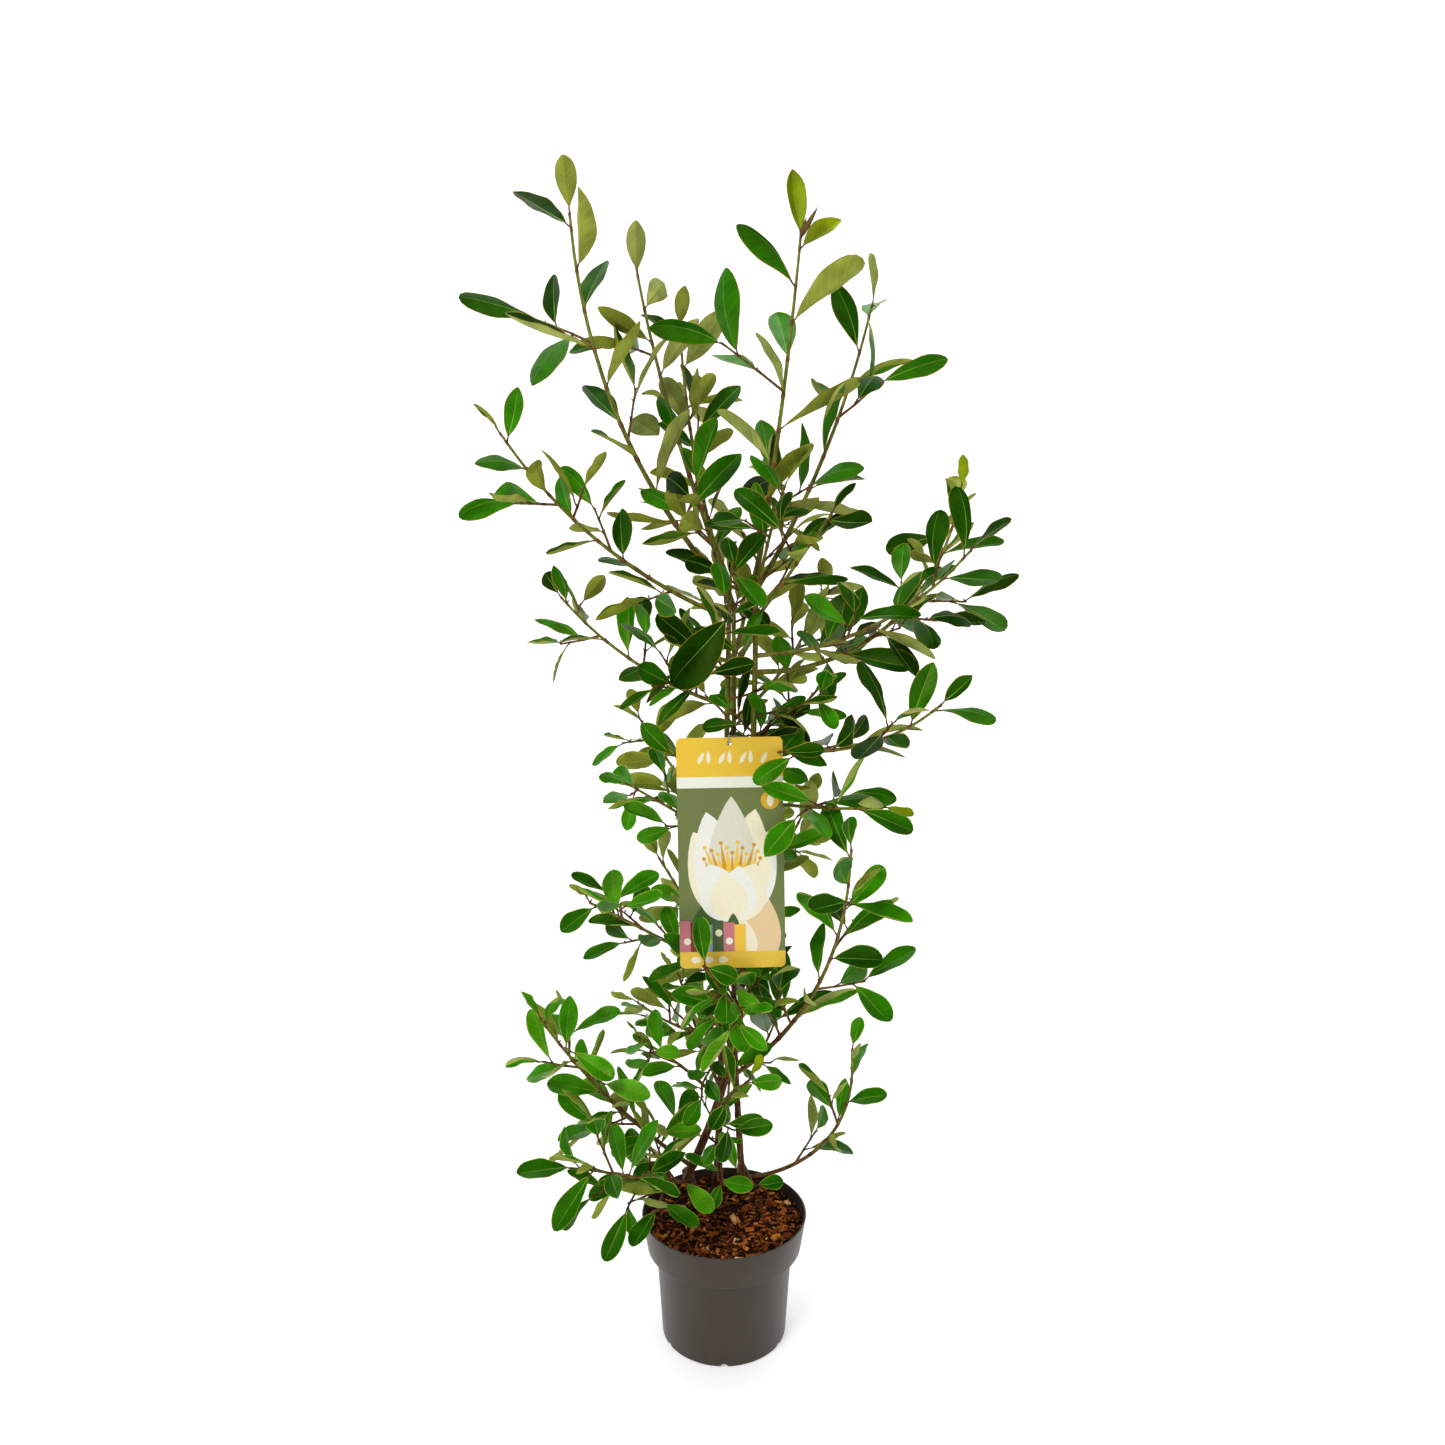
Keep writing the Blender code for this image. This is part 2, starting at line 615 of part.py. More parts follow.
def grow_leaves(shoot, path, twigs, space, rng):
    """Sets a leaf at each site, turned a few times if it would touch anything, else left out."""
    leaves = []
    own = shoot.name + "_leaf"
    for base, axis, turn, spread, length, young in leaf_sites(shoot, path, twigs, rng):
        for attempt in range(TRIES):
            size = length * (1 - LEAF_SHRINK * attempt)
            leaf = new_leaf(base, axis, turn, spread, size, rng, young)
            turn += rng.uniform(0.5, 1.0) * (-1) ** attempt * (attempt + 1)
            outer = leaf_shell(leaf, LEAF_FREE_FROM, LEAF_CLEAR)
            whole = leaf_shell(leaf, 0, LEAF_CLEAR)
            if below_floor(whole[0]) or space.hits(*outer) or space.hits(*whole, skip=(shoot.name, own)):
                continue
            space.add(*leaf_shell(leaf), own)
            leaves.append(leaf)
            break
    return leaves


def join_mass(name, stem, twigs, leaves, collection, material):
    """Fuses twigs and leaves to the mass's stem with one union on a collection."""
    pieces = new_collection(name + "_pieces")
    for index, twig in enumerate(twigs):
        add_mesh(f"{name}_twig_{index}", solid_from(*twig_shell(twig)), pieces)
    for index, leaf in enumerate(leaves):
        add_mesh(f"{name}_leaf_{index}", solid_from(*leaf_shell(leaf)), pieces)
    union = stem.modifiers.new("union", 'BOOLEAN')
    union.operation = 'UNION'
    union.operand_type = 'COLLECTION'
    union.collection = pieces
    union.solver = 'MANIFOLD'
    apply_modifiers(stem)
    for item in list(pieces.objects):
        bpy.data.objects.remove(item, do_unlink=True)
    bpy.data.collections.remove(pieces)
    stem.data.materials.clear()
    stem.data.materials.append(material)


def shoot_tube(name, shoot, points, before, collection, material, section=None):
    """A stretch of a shoot, tapering on from the length that lies before it."""
    radii, travelled = [], before
    for index, point in enumerate(points):
        if index:
            travelled += (point - points[index - 1]).length
        radii.append(shoot_radius(shoot, travelled / shoot.length))
    return tube(name, points, radii, 1, collection, material, section)


def make_shoots(paths, seats, obstacles, collection, section, bark, foliage):
    """Grows every bough with its mass: limbs first, then twigs, then leaves."""
    space = Space()
    for item in obstacles:
        space.add(*mesh_shell(item), item.name)
    stems, leafy = {}, {}
    for shoot in SHOOTS:
        foot = point_at_height(paths[shoot.parent], shoot.height)
        path = course(foot, Arc(shoot.heading, shoot.swing, shoot.rise, shoot.lift, shoot.length))
        bare = shoot.bare * shoot.length
        if bare:
            lower, path = split_path(path, bare)
            bough = shoot_tube("bough_" + shoot.name, shoot, lower, 0, collection, bark)
            cut_with(bough, seats[shoot.parent])
            shade_round(bough)
            space.add(*mesh_shell(bough), bough.name)
            path[0] = path[0] + (path[1] - path[0]).normalized() * GAP
        stem = shoot_tube("leaves_" + shoot.name, shoot, path, bare, collection, foliage, section)
        if not bare:
            cut_with(stem, seats[shoot.parent])
            apply_modifiers(stem)
            path = split_path(path, SEAT_STUB)[1]
        space.add(*mesh_shell(stem), shoot.name)
        stems[shoot.name], leafy[shoot.name] = stem, path
    twigs = {}
    for shoot in SHOOTS:
        twigs[shoot.name] = grow_twigs(shoot, leafy[shoot.name], space, random.Random(shoot.seed))
    for shoot in SHOOTS:
        rng = random.Random(100 + shoot.seed)
        leaves = grow_leaves(shoot, leafy[shoot.name], twigs[shoot.name], space, rng)
        join_mass("leaves_" + shoot.name, stems[shoot.name], twigs[shoot.name], leaves, collection, foliage)


# Hang tag
def tag_frame():
    """The tag's own frame: origin at the middle of its top edge, X across it, Z up it."""
    return Matrix.Translation(TAG_TOP) @ Matrix.Rotation(TAG_TURN, 4, 'Y') @ Matrix.Rotation(TAG_TILT, 4, 'X')


def make_tag(collection, material):
    """A card with round corners and a hole, as a flat outline with an inner ring."""
    curve = bpy.data.curves.new("tag", 'CURVE')
    curve.dimensions = '2D'
    curve.fill_mode = 'BOTH'
    curve.extrude = TAG_THICKNESS / 2
    outline = []
    for corner, (x, y) in enumerate(((1, 0), (-1, 0), (-1, -1), (1, -1))):
        middle = (x * (TAG_WIDTH / 2 - TAG_CORNER), y * TAG_HEIGHT + TAG_CORNER * (1 if y else -1))
        for step in range(TAG_CORNER_STEPS + 1):
            turn = math.pi / 2 * (corner + step / TAG_CORNER_STEPS)
            outline.append((middle[0] + TAG_CORNER * math.cos(turn), middle[1] + TAG_CORNER * math.sin(turn), 0))
    hole = []
    for step in range(TAG_HOLE_STEPS):
        turn = math.tau * step / TAG_HOLE_STEPS
        hole.append((TAG_HOLE_RADIUS * math.cos(turn), TAG_HOLE_RADIUS * math.sin(turn) - TAG_HOLE_DROP, 0))
    add_polyline(curve, outline, cyclic=True)
    add_polyline(curve, hole, cyclic=True)
    bm = curve_to_bmesh(add_object("tag_outline", curve, collection))
    bmesh.ops.transform(bm, matrix=tag_frame() @ Matrix.Rotation(math.pi / 2, 4, 'X'), verts=bm.verts)
    add_mesh("tag", bm, collection, material)


def make_tag_loop(paths, collection, material):
    """A thin closed loop round the main stem and through the tag's hole."""
    frame = tag_frame()
    route = [frame @ Vector(point) for point in LOOP_ROUTE]
    stem = point_at_height(paths["stem_main"], route[-1].z)
    away = ((stem - route[-1]) * Vector((1, 1, 0))).normalized()
    across = Vector((0, 0, 1)).cross(away)
    points = []
    for step in range(LOOP_TURN_STEPS + 1):
        turn = math.pi * (step / LOOP_TURN_STEPS - 0.5)
        points.append(stem + (away * math.cos(turn) + across * math.sin(turn)) * LOOP_TURN_RADIUS)
    curve = bpy.data.curves.new("tag_loop", 'CURVE')
    curve.dimensions = '3D'
    curve.bevel_depth = LOOP_RADIUS
    curve.bevel_resolution = 0
    add_polyline(curve, points + route, cyclic=True)
    bm = curve_to_bmesh(add_object("tag_loop_curve", curve, collection))
    add_mesh("tag_loop", bm, collection, material)


def main():
    clear_scene()
    plant = new_collection("potted_magnolia")
    cutters = new_collection("cutters")
    plastic = new_material("pot_plastic", (0.085, 0.068, 0.058), 0.45)
    bark_mix = new_material("bark_mix", (0.075, 0.030, 0.013), 0.9)
    bark = new_material("bark", (0.17, 0.085, 0.035), 0.75)
    foliage = new_material("leaf_green", (0.045, 0.165, 0.012), 0.4)
    card = new_material("tag_card", (0.74, 0.50, 0.06), 0.5)
    loop = new_material("loop_plastic", (0.30, 0.28, 0.24), 0.5)
    make_pot(plant, cutters, plastic)
    make_mix(plant, bark_mix)
    paths, seats = make_stems(plant, cutters, bark)
    make_tag(plant, card)
    make_tag_loop(paths, plant, loop)
    section = three_sided_section(cutters)
    make_shoots(paths, seats, list(plant.objects), plant, section, bark, foliage)
    for cutter in cutters.objects:
        cutter.hide_render = True
        cutter.display_type = 'WIRE'


main()
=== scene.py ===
"""Looks of a potted evergreen magnolia: fine leaves, bark, pot, bark chips and a printed tag.

Metres, +Z up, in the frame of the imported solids. The origin is the middle of the pot's flat underside.
"""
import json
import math
import random
from collections import namedtuple

import bmesh
import bpy
import numpy as np
from mathutils import Matrix, Vector, noise
from mathutils.kdtree import KDTree

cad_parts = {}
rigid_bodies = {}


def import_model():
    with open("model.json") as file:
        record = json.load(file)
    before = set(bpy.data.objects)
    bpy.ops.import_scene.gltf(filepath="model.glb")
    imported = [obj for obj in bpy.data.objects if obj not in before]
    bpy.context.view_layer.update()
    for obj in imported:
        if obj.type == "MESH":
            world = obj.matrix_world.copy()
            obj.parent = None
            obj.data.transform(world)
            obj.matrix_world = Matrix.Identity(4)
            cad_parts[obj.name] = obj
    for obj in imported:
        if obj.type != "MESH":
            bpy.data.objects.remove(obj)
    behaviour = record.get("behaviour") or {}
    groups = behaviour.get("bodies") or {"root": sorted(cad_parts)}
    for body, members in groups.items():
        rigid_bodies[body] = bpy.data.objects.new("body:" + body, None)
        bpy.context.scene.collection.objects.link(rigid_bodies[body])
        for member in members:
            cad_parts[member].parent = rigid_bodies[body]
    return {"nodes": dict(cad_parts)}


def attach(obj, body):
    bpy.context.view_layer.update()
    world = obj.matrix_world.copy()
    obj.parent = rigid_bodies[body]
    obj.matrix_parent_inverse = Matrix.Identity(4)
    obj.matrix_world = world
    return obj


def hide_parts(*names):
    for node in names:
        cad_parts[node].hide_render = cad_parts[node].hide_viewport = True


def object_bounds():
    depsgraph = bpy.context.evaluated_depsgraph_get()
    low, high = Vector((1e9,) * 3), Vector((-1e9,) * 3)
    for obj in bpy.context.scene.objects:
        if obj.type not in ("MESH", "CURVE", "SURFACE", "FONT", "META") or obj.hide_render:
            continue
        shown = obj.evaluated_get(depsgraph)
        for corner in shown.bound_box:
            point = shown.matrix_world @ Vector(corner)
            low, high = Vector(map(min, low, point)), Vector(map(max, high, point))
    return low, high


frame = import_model()
CAD_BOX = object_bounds()

# Camera, fitted to the pot's rim and foot in the photograph
CAMERA_PLACE = (-0.0016, -1.104, 0.796)
CAMERA_TILT = math.radians(82)
CAMERA_LENS = 28.476
CAMERA_SENSOR = 36

# Light that reaches an open surface, against the white of the background
LIGHT = 0.92

STAGE_DEPTH = 2.4
STAGE_REACH = 8
WORLD_LIGHT = 0.24
LIGHT_TARGET = Vector((0, 0, 0.55))
# Name, place, side and power
LIGHTS = (("key", (-1.3, -1.9, 2.4), 1.3, 52), ("fill", (2.1, -1.4, 1.1), 1.8, 12), ("top", (0.3, 0.4, 2.8), 1.4, 21))

# Pot
POT_HEIGHT = 0.130
RIM_RADIUS = 0.085
COLLAR_FOOT_RADIUS = 0.0793
COLLAR_FOOT_Z = 0.0947
SHOULDER_RADIUS = 0.0702
BODY_FOOT_RADIUS = 0.0642
POT_WALL = 0.0015
POT_FLOOR = 0.0020
BASE_ROUND = 0.0025
POT_STEPS = 120
DRAIN_SLOTS = 6
DRAIN_RADIUS = 0.0040
DRAIN_SIDES = 32
DRAIN_REACH = 0.010
POT_COLOUR = (52, 41, 32)
LIP_ROUND = 0.0006

# Potting mix
MIX_TOP = 0.120
CHIP_FIELD = 0.0814
CHIP_RISE = 0.0034
CHIP_CROWN = 0.0014

# Hang tag and its loop
TAG_WIDTH = 0.101
TAG_HEIGHT = 0.221
TAG_THICKNESS = 0.0005
TAG_CORNER = 0.005
PANEL_STEPS = 6
TAG_TOP = Vector((0.0046, -0.034, 0.6315))
TAG_TILT = math.radians(-5)
TAG_TURN = math.radians(-1)
TAG_HOLE_DROP = 0.0055
TAG_HOLE_RADIUS = 0.0022
PRINT_STEP = 0.00006
PRINT_LIGHT = 0.98
LOOP_RADIUS = 0.0006
LOOP_SIDES = 10
LOOP_COLOUR = (150, 146, 132)
LOOP_TURN_RADIUS = 0.0040
LOOP_TURN_STEPS = 16
LOOP_ROUTE = ((0.0012, 0.0050, 0.0012), (0.0004, 0.0010, 0.0017), (0, -0.0011, 0.0013), (0, -0.0018, -0.0008),
              (0, -0.0016, -0.0045), (0, -0.0004, -0.0056), (-0.0006, 0.0030, -0.0057))

# Leaves, by the same rule as the solids
LEAF_WIDTH = 0.0205
LEAF_WIDTH_AT = 0.050
LEAF_WIDTH_POWER = 0.6
LEAF_LENGTHS = (0.82, 1.14)
LEAF_WIDTHS = (0.88, 1.12)
LEAF_SHRINK = 0.06
YOUNG_LEAF = 0.62
LAST_LEAF = 0.86
TRIES = 5
LEAF_SPREAD = 52
TIP_LEAF_SPREAD = 16
TWIG_LEAF_SPREAD = 54
TWIG_TIP_SPREAD = 24
LEAF_BEND = (18, 46)
LEAF_ROLL = 60
SKYWARD = 0.75
LIMBWARD = 0.35
LEVEL_FLATNESS = 0.45
GOLDEN_TURN = math.radians(137.5)
TWIG_SPREAD = (42, 62)
TWIG_LENGTHS = (0.55, 0.95)
TWIG_SHIFT = 0.004
TWIG_LEAF_SITES = (0.94, 0.72, 0.40)

# Leaf surface
BLADE_ROWS = 15
BLADE_THICKNESS = 0.00032
PETIOLE_LENGTH = 0.0052
PETIOLE_RADIUS = 0.0008
MARGIN_WIDTH = 0.00068
RIB_HALF_WIDTH = 0.00055
RIB_HEIGHT = 0.00032
LEAF_FOLD = (0.20, 0.70)
TIP_CURL = (0, 0.05)
OUTLINE_RISE = (0.90, 1.18)
OUTLINE_ROUND = (0.48, 0.62)
OUTLINE_POINTED = (0.68, 0.88)
BLADE_SPAN = (0.05, 0.965)
LEAST_HALF_WIDTH = 0.0004
INNER_COLUMN, OUTER_COLUMN = 0.32, 0.70
WAVE_HEIGHT = 0.0009
WAVE_COUNTS = (1.4, 2.6)
CUPPING = (-0.12, 0.10)
TWIST = 0.45
SIDE_DRIFT = 0.05

# Limbs
TIP_RADIUS = 0.0010
SHOOT_RADIUS = 0.0011
SHOOT_RADIUS_BY_LENGTH = 0.0036
TWIG_FOOT_RADIUS = 0.0014
TWIG_TIP_RADIUS = 0.0009
SOLID_TWIG_TIP_RADIUS = 0.0013
TWIG_SIDES = 3
GAP = 0.0003
ROOT_DEPTH = 0.010
FORK_DEPTH = 0.004
FLARE_FALL = 0.008
STEP_LENGTH = 0.036
SEAT_STUB = 0.012
SAME_PLACE = 0.00005

Arc = namedtuple("Arc", "heading swing rise lift length")
Stem = namedtuple("Stem", "name foot arcs foot_radius radius tip_radius flare")
Shoot = namedtuple("Shoot", "name parent height heading swing rise lift length bare twigs leaf spacing seed")
Leaf = namedtuple("Leaf", "base along up length width bend young")
Twig = namedtuple("Twig", "foot along length")
Spray = namedtuple("Spray", "shoot path twigs leaves")
Spur = namedtuple("Spur", "stem low high count leaf")
# The way that most leaves with a place of their own face
TOWARDS_VIEWER = (0.05, -0.85, 0.5)
Feature = namedtuple("Feature", "name parent base tip width face bend", defaults=(TOWARDS_VIEWER, 24))
Level = namedtuple("Level", "name floor young pointed narrowing shade turned margin")
LeafKind = namedtuple("LeafKind", "name colours roughness smoother gloss glossier veins bump")

STEMS = (
    Stem("trunk", (-0.022, 0.017), (Arc(170, 0, 58, 79, 0.046),), 0.0064, 0.0056, 0.0052, 0.0030),
    Stem("stem_main", "trunk", (Arc(-18, -6, 66, 77, 0.176), Arc(0, 0, 86, 90, 0.455)),
         0.0047, 0.0034, 0.0026, 0),
    Stem("stem_left", (-0.008, 0.055), (Arc(-80, -6, 78, 77, 0.202), Arc(0, 0, 89, 89, 0.460)),
         0.0044, 0.0031, 0.0023, 0.0020),
    Stem("stem_back", (0.021, 0.044), (Arc(-114, 0, 80, 85, 0.198), Arc(95, 0, 89, 88, 0.440)),
         0.0038, 0.0029, 0.0021, 0.0018),
)

SHOOTS = [Shoot(*sizes, seed) for seed, sizes in enumerate((
    ("top_left", "stem_left", 0.768, -172, 30, 46, 85, 0.374, 0.12, 3, 0.078, 0.035),
    ("top_inner_left", "stem_left", 0.776, 155, -16, 65, 76, 0.329, 0.12, 3, 0.066, 0.034),
    ("top_back_left", "stem_back", 0.752, 134, -32, 63, 73, 0.308, 0.14, 3, 0.066, 0.034),
    ("top_leader", "stem_main", 0.778, -22, -11, 80, 84, 0.312, 0.08, 2, 0.084, 0.032),
    ("top_right", "stem_main", 0.768, 20, 16, 57, 73, 0.305, 0.16, 2, 0.072, 0.036),
    ("top_front_right", "stem_main", 0.741, -40, -5, 47, 48, 0.133, 0, 2, 0.064, 0.026),
    ("long_left", "stem_left", 0.742, -168, 10, 21, 55, 0.278, 0.14, 3, 0.062, 0.030),
    ("middle_left", "stem_left", 0.655, 168, -4, 16, 47, 0.205, 0.14, 3, 0.060, 0.028),
    ("right_front", "stem_main", 0.706, -11, -8, 3, 50, 0.232, 0.16, 4, 0.060, 0.027),
    ("right_back", "stem_main", 0.690, 8, 18, -2, 81, 0.303, 0.14, 4, 0.060, 0.029),
    ("tag_right_upper", "stem_main", 0.618, -14, -28, -10, 40, 0.202, 0.20, 2, 0.060, 0.028),
    ("tag_right_lower", "stem_main", 0.563, -10, -46, -6, 14, 0.146, 0.24, 1, 0.060, 0.026),
    ("basal_right", "stem_back", 0.142, -10, -40, 12, 96, 0.225, 0.18, 2, 0.046, 0.026),
    ("lower_right", "stem_main", 0.268, -11, -49, 37, 87, 0.305, 0.12, 5, 0.058, 0.027),
    ("foot_right", "stem_main", 0.205, -68, 22, 56, 42, 0.125, 0, 2, 0.050, 0.025),
    ("lower_left", "stem_main", 0.374, -158, 1, 36, 31, 0.188, 0.16, 4, 0.054, 0.025),
    ("lower_left_inner", "stem_left", 0.395, 142, 1, 48, 48, 0.126, 0, 2, 0.052, 0.024),
    ("foot_left_back", "stem_left", 0.313, 148, -3, -8, 22, 0.110, 0, 2, 0.050, 0.024),
    ("foot_left", "stem_main", 0.247, -150, -4, 51, 36, 0.122, 0, 2, 0.048, 0.025),
    ("foot_left_upright", "stem_left", 0.250, 150, -10, 62, 67, 0.125, 0, 1, 0.048, 0.025),
    ("long_low_left", "stem_main", 0.168, -153, 13, 43, 57, 0.262, 0.14, 3, 0.054, 0.027),
    ("basal_left", "trunk", 0.150, -131, 12, 24, 34, 0.172, 0.16, 4, 0.054, 0.023),
    ("front_low", "stem_main", 0.362, -98, 10, 10, 12, 0.070, 0, 2, 0.056, 0.020),
    ("front_high", "stem_left", 0.700, -125, 10, 16, 6, 0.075, 0, 1, 0.070, 0.024),
    ("back_high", "stem_back", 0.700, 78, -10, 35, 66, 0.250, 0.16, 3, 0.064, 0.030),
    ("back_right_high", "stem_back", 0.640, 48, 12, 22, 52, 0.210, 0.16, 2, 0.060, 0.028),
    ("back_left_middle", "stem_back", 0.520, 122, 14, 18, 46, 0.200, 0.16, 2, 0.058, 0.026),
    ("back_right_middle", "stem_back", 0.420, 62, -12, 24, 48, 0.195, 0, 2, 0.056, 0.026),
    ("back_low", "stem_back", 0.250, 100, 10, 34, 50, 0.170, 0, 2, 0.052, 0.025),
    ("middle_left_low", "stem_left", 0.520, 172, 8, 30, 30, 0.110, 0, 2, 0.054, 0.024),
    ("middle_right_high", "stem_main", 0.600, 20, 10, 48, 40, 0.100, 0, 2, 0.054, 0.024),
    ("centre_left_high", "stem_left", 0.753, -112, -20, 58, 62, 0.115, 0, 2, 0.058, 0.024),
    ("centre_right_high", "stem_main", 0.752, -75, 20, 66, 60, 0.125, 0, 2, 0.062, 0.026),
), 1)]

# Short leafy spurs along the stems
SPURS = (
    Spur("stem_left", 0.600, 0.770, 8, 0.056),
    Spur("stem_main", 0.590, 0.770, 8, 0.056),
    Spur("stem_back", 0.500, 0.750, 8, 0.056),
    Spur("stem_left", 0.350, 0.580, 5, 0.050),
    Spur("stem_main", 0.350, 0.560, 5, 0.050),
    Spur("stem_back", 0.250, 0.500, 6, 0.050),
    Spur("stem_left", 0.190, 0.260, 1, 0.046),
    Spur("stem_main", 0.170, 0.240, 1, 0.046),
)

# How many finer twigs fill each shoot
FILL = {
    "long_left": 1, "middle_left": 2, "right_front": 1, "right_back": 1, "lower_right": 1, "foot_right": 1,
    "lower_left": 3, "lower_left_inner": 2, "foot_left_back": 3, "foot_left": 2, "foot_left_upright": 1,
    "long_low_left": 7, "basal_left": 9, "front_low": 3, "back_high": 3, "back_right_high": 3,
    "back_left_middle": 3, "back_right_middle": 3, "back_low": 3, "middle_left_low": 2, "middle_right_high": 1,
}
FILL_LEAF = 0.96
LARGE_FILL_LEAF = 1.14
LARGE_FILL = ("basal_left", "long_low_left", "lower_right")
FILL_LENGTHS = (0.30, 0.75)
# Shoots whose leaves look larger in the photograph than on the solids, judged
LARGER_LEAVES = {"basal_right": 1.12, "lower_right": 1.14, "top_left": 1.08, "top_right": 1.06, "top_leader": 1.04,
                 "right_front": 1.12, "right_back": 1.14, "tag_right_upper": 1.12, "tag_right_lower": 1.10}
SPUR_LENGTHS = (0.30, 1.10)
FILL_SPREAD = (40, 85)
FILL_LEAF_SPREAD = 62
FILL_ROOM = 0.0075
FILL_TRIES = 8
BOX_MARGIN = 0.002
RIM_CLEAR = 0.006
TAG_CLEAR = 0.004

# Leaves with a place of their own: on the front of the bundle, over the tag's edges and over the mix. The foot
# and the tip are where they show in the photograph, through the camera above, at a guessed depth.
FEATURES = (
    Feature("large_front_leaf", "stem_left", (0.004, -0.077, 0.748), (-0.043, -0.110, 0.687),
            0.045, (0.05, -1, 0.05), 22),
    Feature("tag_side_leaf_1", "tag_right_upper", (0.066, -0.046, 0.616), (0.027, -0.064, 0.594),
            0.020, (0.20, -0.85, 0.50)),
    Feature("tag_side_leaf_2", "tag_right_lower", (0.086, -0.046, 0.570), (0.035, -0.062, 0.592), 0.021, bend=28),
    Feature("tag_side_leaf_3", "tag_right_lower", (0.070, -0.048, 0.559), (0.037, -0.066, 0.524), 0.024, bend=22),
    Feature("tag_side_leaf_4", "tag_right_upper", (0.051, -0.040, 0.618), (0.094, -0.046, 0.620),
            0.019, (0, -0.70, 0.70), 22),
    Feature("tag_foot_leaf_1", "front_low", (-0.018, -0.066, 0.417), (-0.024, -0.070, 0.467),
            0.021, (0.20, -0.95, 0.20), 20),
    Feature("tag_foot_leaf_2", "front_low", (-0.020, -0.064, 0.417), (0.012, -0.072, 0.407), 0.021),
    Feature("tag_foot_leaf_3", "front_low", (0.001, -0.055, 0.396), (0.003, -0.070, 0.361), 0.024),
    Feature("tag_foot_leaf_4", "front_low", (0.007, -0.052, 0.395), (0.031, -0.062, 0.369), 0.021),
    Feature("low_leaf_1", "basal_left", (-0.056, -0.030, 0.168), (-0.082, -0.050, 0.194), 0.022),
    Feature("low_leaf_2", "trunk", (-0.042, -0.020, 0.176), (-0.012, -0.045, 0.154), 0.020),
    Feature("low_leaf_3", "stem_left", (-0.006, -0.012, 0.170), (0.028, -0.035, 0.174), 0.018, (0, -0.60, 0.80), 26),
    Feature("low_leaf_4", "stem_left", (-0.002, -0.010, 0.169), (-0.012, -0.032, 0.152), 0.014, bend=20),
    Feature("low_leaf_5", "stem_back", (0.030, -0.008, 0.161), (0.061, -0.006, 0.166), 0.018, (0, -0.50, 0.85), 26),
    Feature("low_leaf_6", "stem_left", (-0.002, -0.005, 0.174), (-0.039, -0.025, 0.204), 0.019, (0, -0.50, 0.85), 28),
    Feature("low_leaf_7", "stem_back", (0.014, 0.000, 0.172), (-0.001, -0.015, 0.224), 0.017, (0.30, -0.90, 0.20), 20),
    Feature("rim_leaf", "trunk", (-0.099, -0.002, 0.1390), (-0.094, -0.020, 0.114), 0.015, (-0.20, -0.95, 0.20), 20),
    Feature("corner_leaf_1", "middle_left", (-0.047, 0.020, 0.690), (-0.077, 0.012, 0.658),
            0.016, (-0.50, -0.60, 0.60), 26),
    Feature("corner_leaf_2", "middle_left", (-0.036, 0.010, 0.681), (-0.073, -0.002, 0.657),
            0.016, (-0.40, -0.60, 0.70), 26),
    Feature("corner_leaf_3", "middle_left", (-0.027, 0.004, 0.676), (-0.066, -0.012, 0.640),
            0.018, (-0.40, -0.65, 0.60), 26),
    Feature("corner_leaf_4", "stem_left", (-0.050, -0.018, 0.611), (-0.080, -0.030, 0.643), 0.022),
    Feature("corner_leaf_5", "stem_left", (-0.016, -0.024, 0.690), (0.028, -0.048, 0.702), 0.019, (0, -0.85, 0.50)),
)

# Leaf pieces, each with the masses whose shoots start above its floor: the chance of a young, a pointed and a
# turned leaf, the narrowing, the shade of the tops, and the margin's material. The tops are darker high in the
# crown, partly as painted shade of the crown's deep inside and partly as the upper leaves' own darker green.
LEVELS = (
    Level("top", 0.745, 0.55, 0.80, 0.98, 1.4, 0.60, "margin"),
    Level("upper", 0.610, 0.15, 0.50, 0.98, 1.6, 1.0, "margin"),
    Level("middle", 0.330, 0.05, 0.30, 1.0, 2.7, 1.0, "low_margin"),
    Level("low", 0.0, 0.05, 0.25, 1.0, 3.2, 1.0, "low_margin"),
)

# First number of each kind of random draws
SEEDS = {"twigs": 0, "leaves": 100, "spurs": 200, "fill": 300, "stems": 500, "bows": 700, "stalks": 800,
         "blades": 900, "chips": 41}
FIRST_FEATURE_SEED = 60
FIRST_SPUR_SEED = 90


def clamp(value, low, high):
    return min(max(value, low), high)


def draws(kind, number=0):
    """The random numbers of one kind of thing, the same in each run."""
    return random.Random(SEEDS[kind] + number)


def add_object(name, data):
    item = bpy.data.objects.new(name, data)
    bpy.context.scene.collection.objects.link(item)
    return item


# Materials
def linear(red, green, blue):
    """A colour given in the 0 to 255 values of a picture, in the linear values that shaders use."""
    values = []
    for channel in (red, green, blue):
        share = channel / 255
        values.append(share / 12.92 if share <= 0.04045 else ((share + 0.055) / 1.055) ** 2.4)
    return (*values, 1)


def scaled(colour, factor):
    return tuple(min(1, channel * factor) for channel in colour[:3]) + (1,)


def seen(colour, light=LIGHT):
    """The base colour of a surface that looks like a given picture colour in the studio's light."""
    return scaled(linear(*colour), 1 / light)


def node(tree, kind, *values, **named):
    """Adds a shader node. Keywords set its properties or inputs; an output given as a value is linked."""
    item = tree.nodes.new(kind)

    def feed(socket, value):
        if isinstance(value, bpy.types.NodeSocket):
            tree.links.new(value, socket)
        else:
            socket.default_value = value

    for key, value in named.items():
        name = key.replace("_", " ")
        if name in item.inputs:
            feed(item.inputs[name], value)
        else:
            setattr(item, key, value)
    for socket, value in zip(item.inputs, values):
        feed(socket, value)
    return item


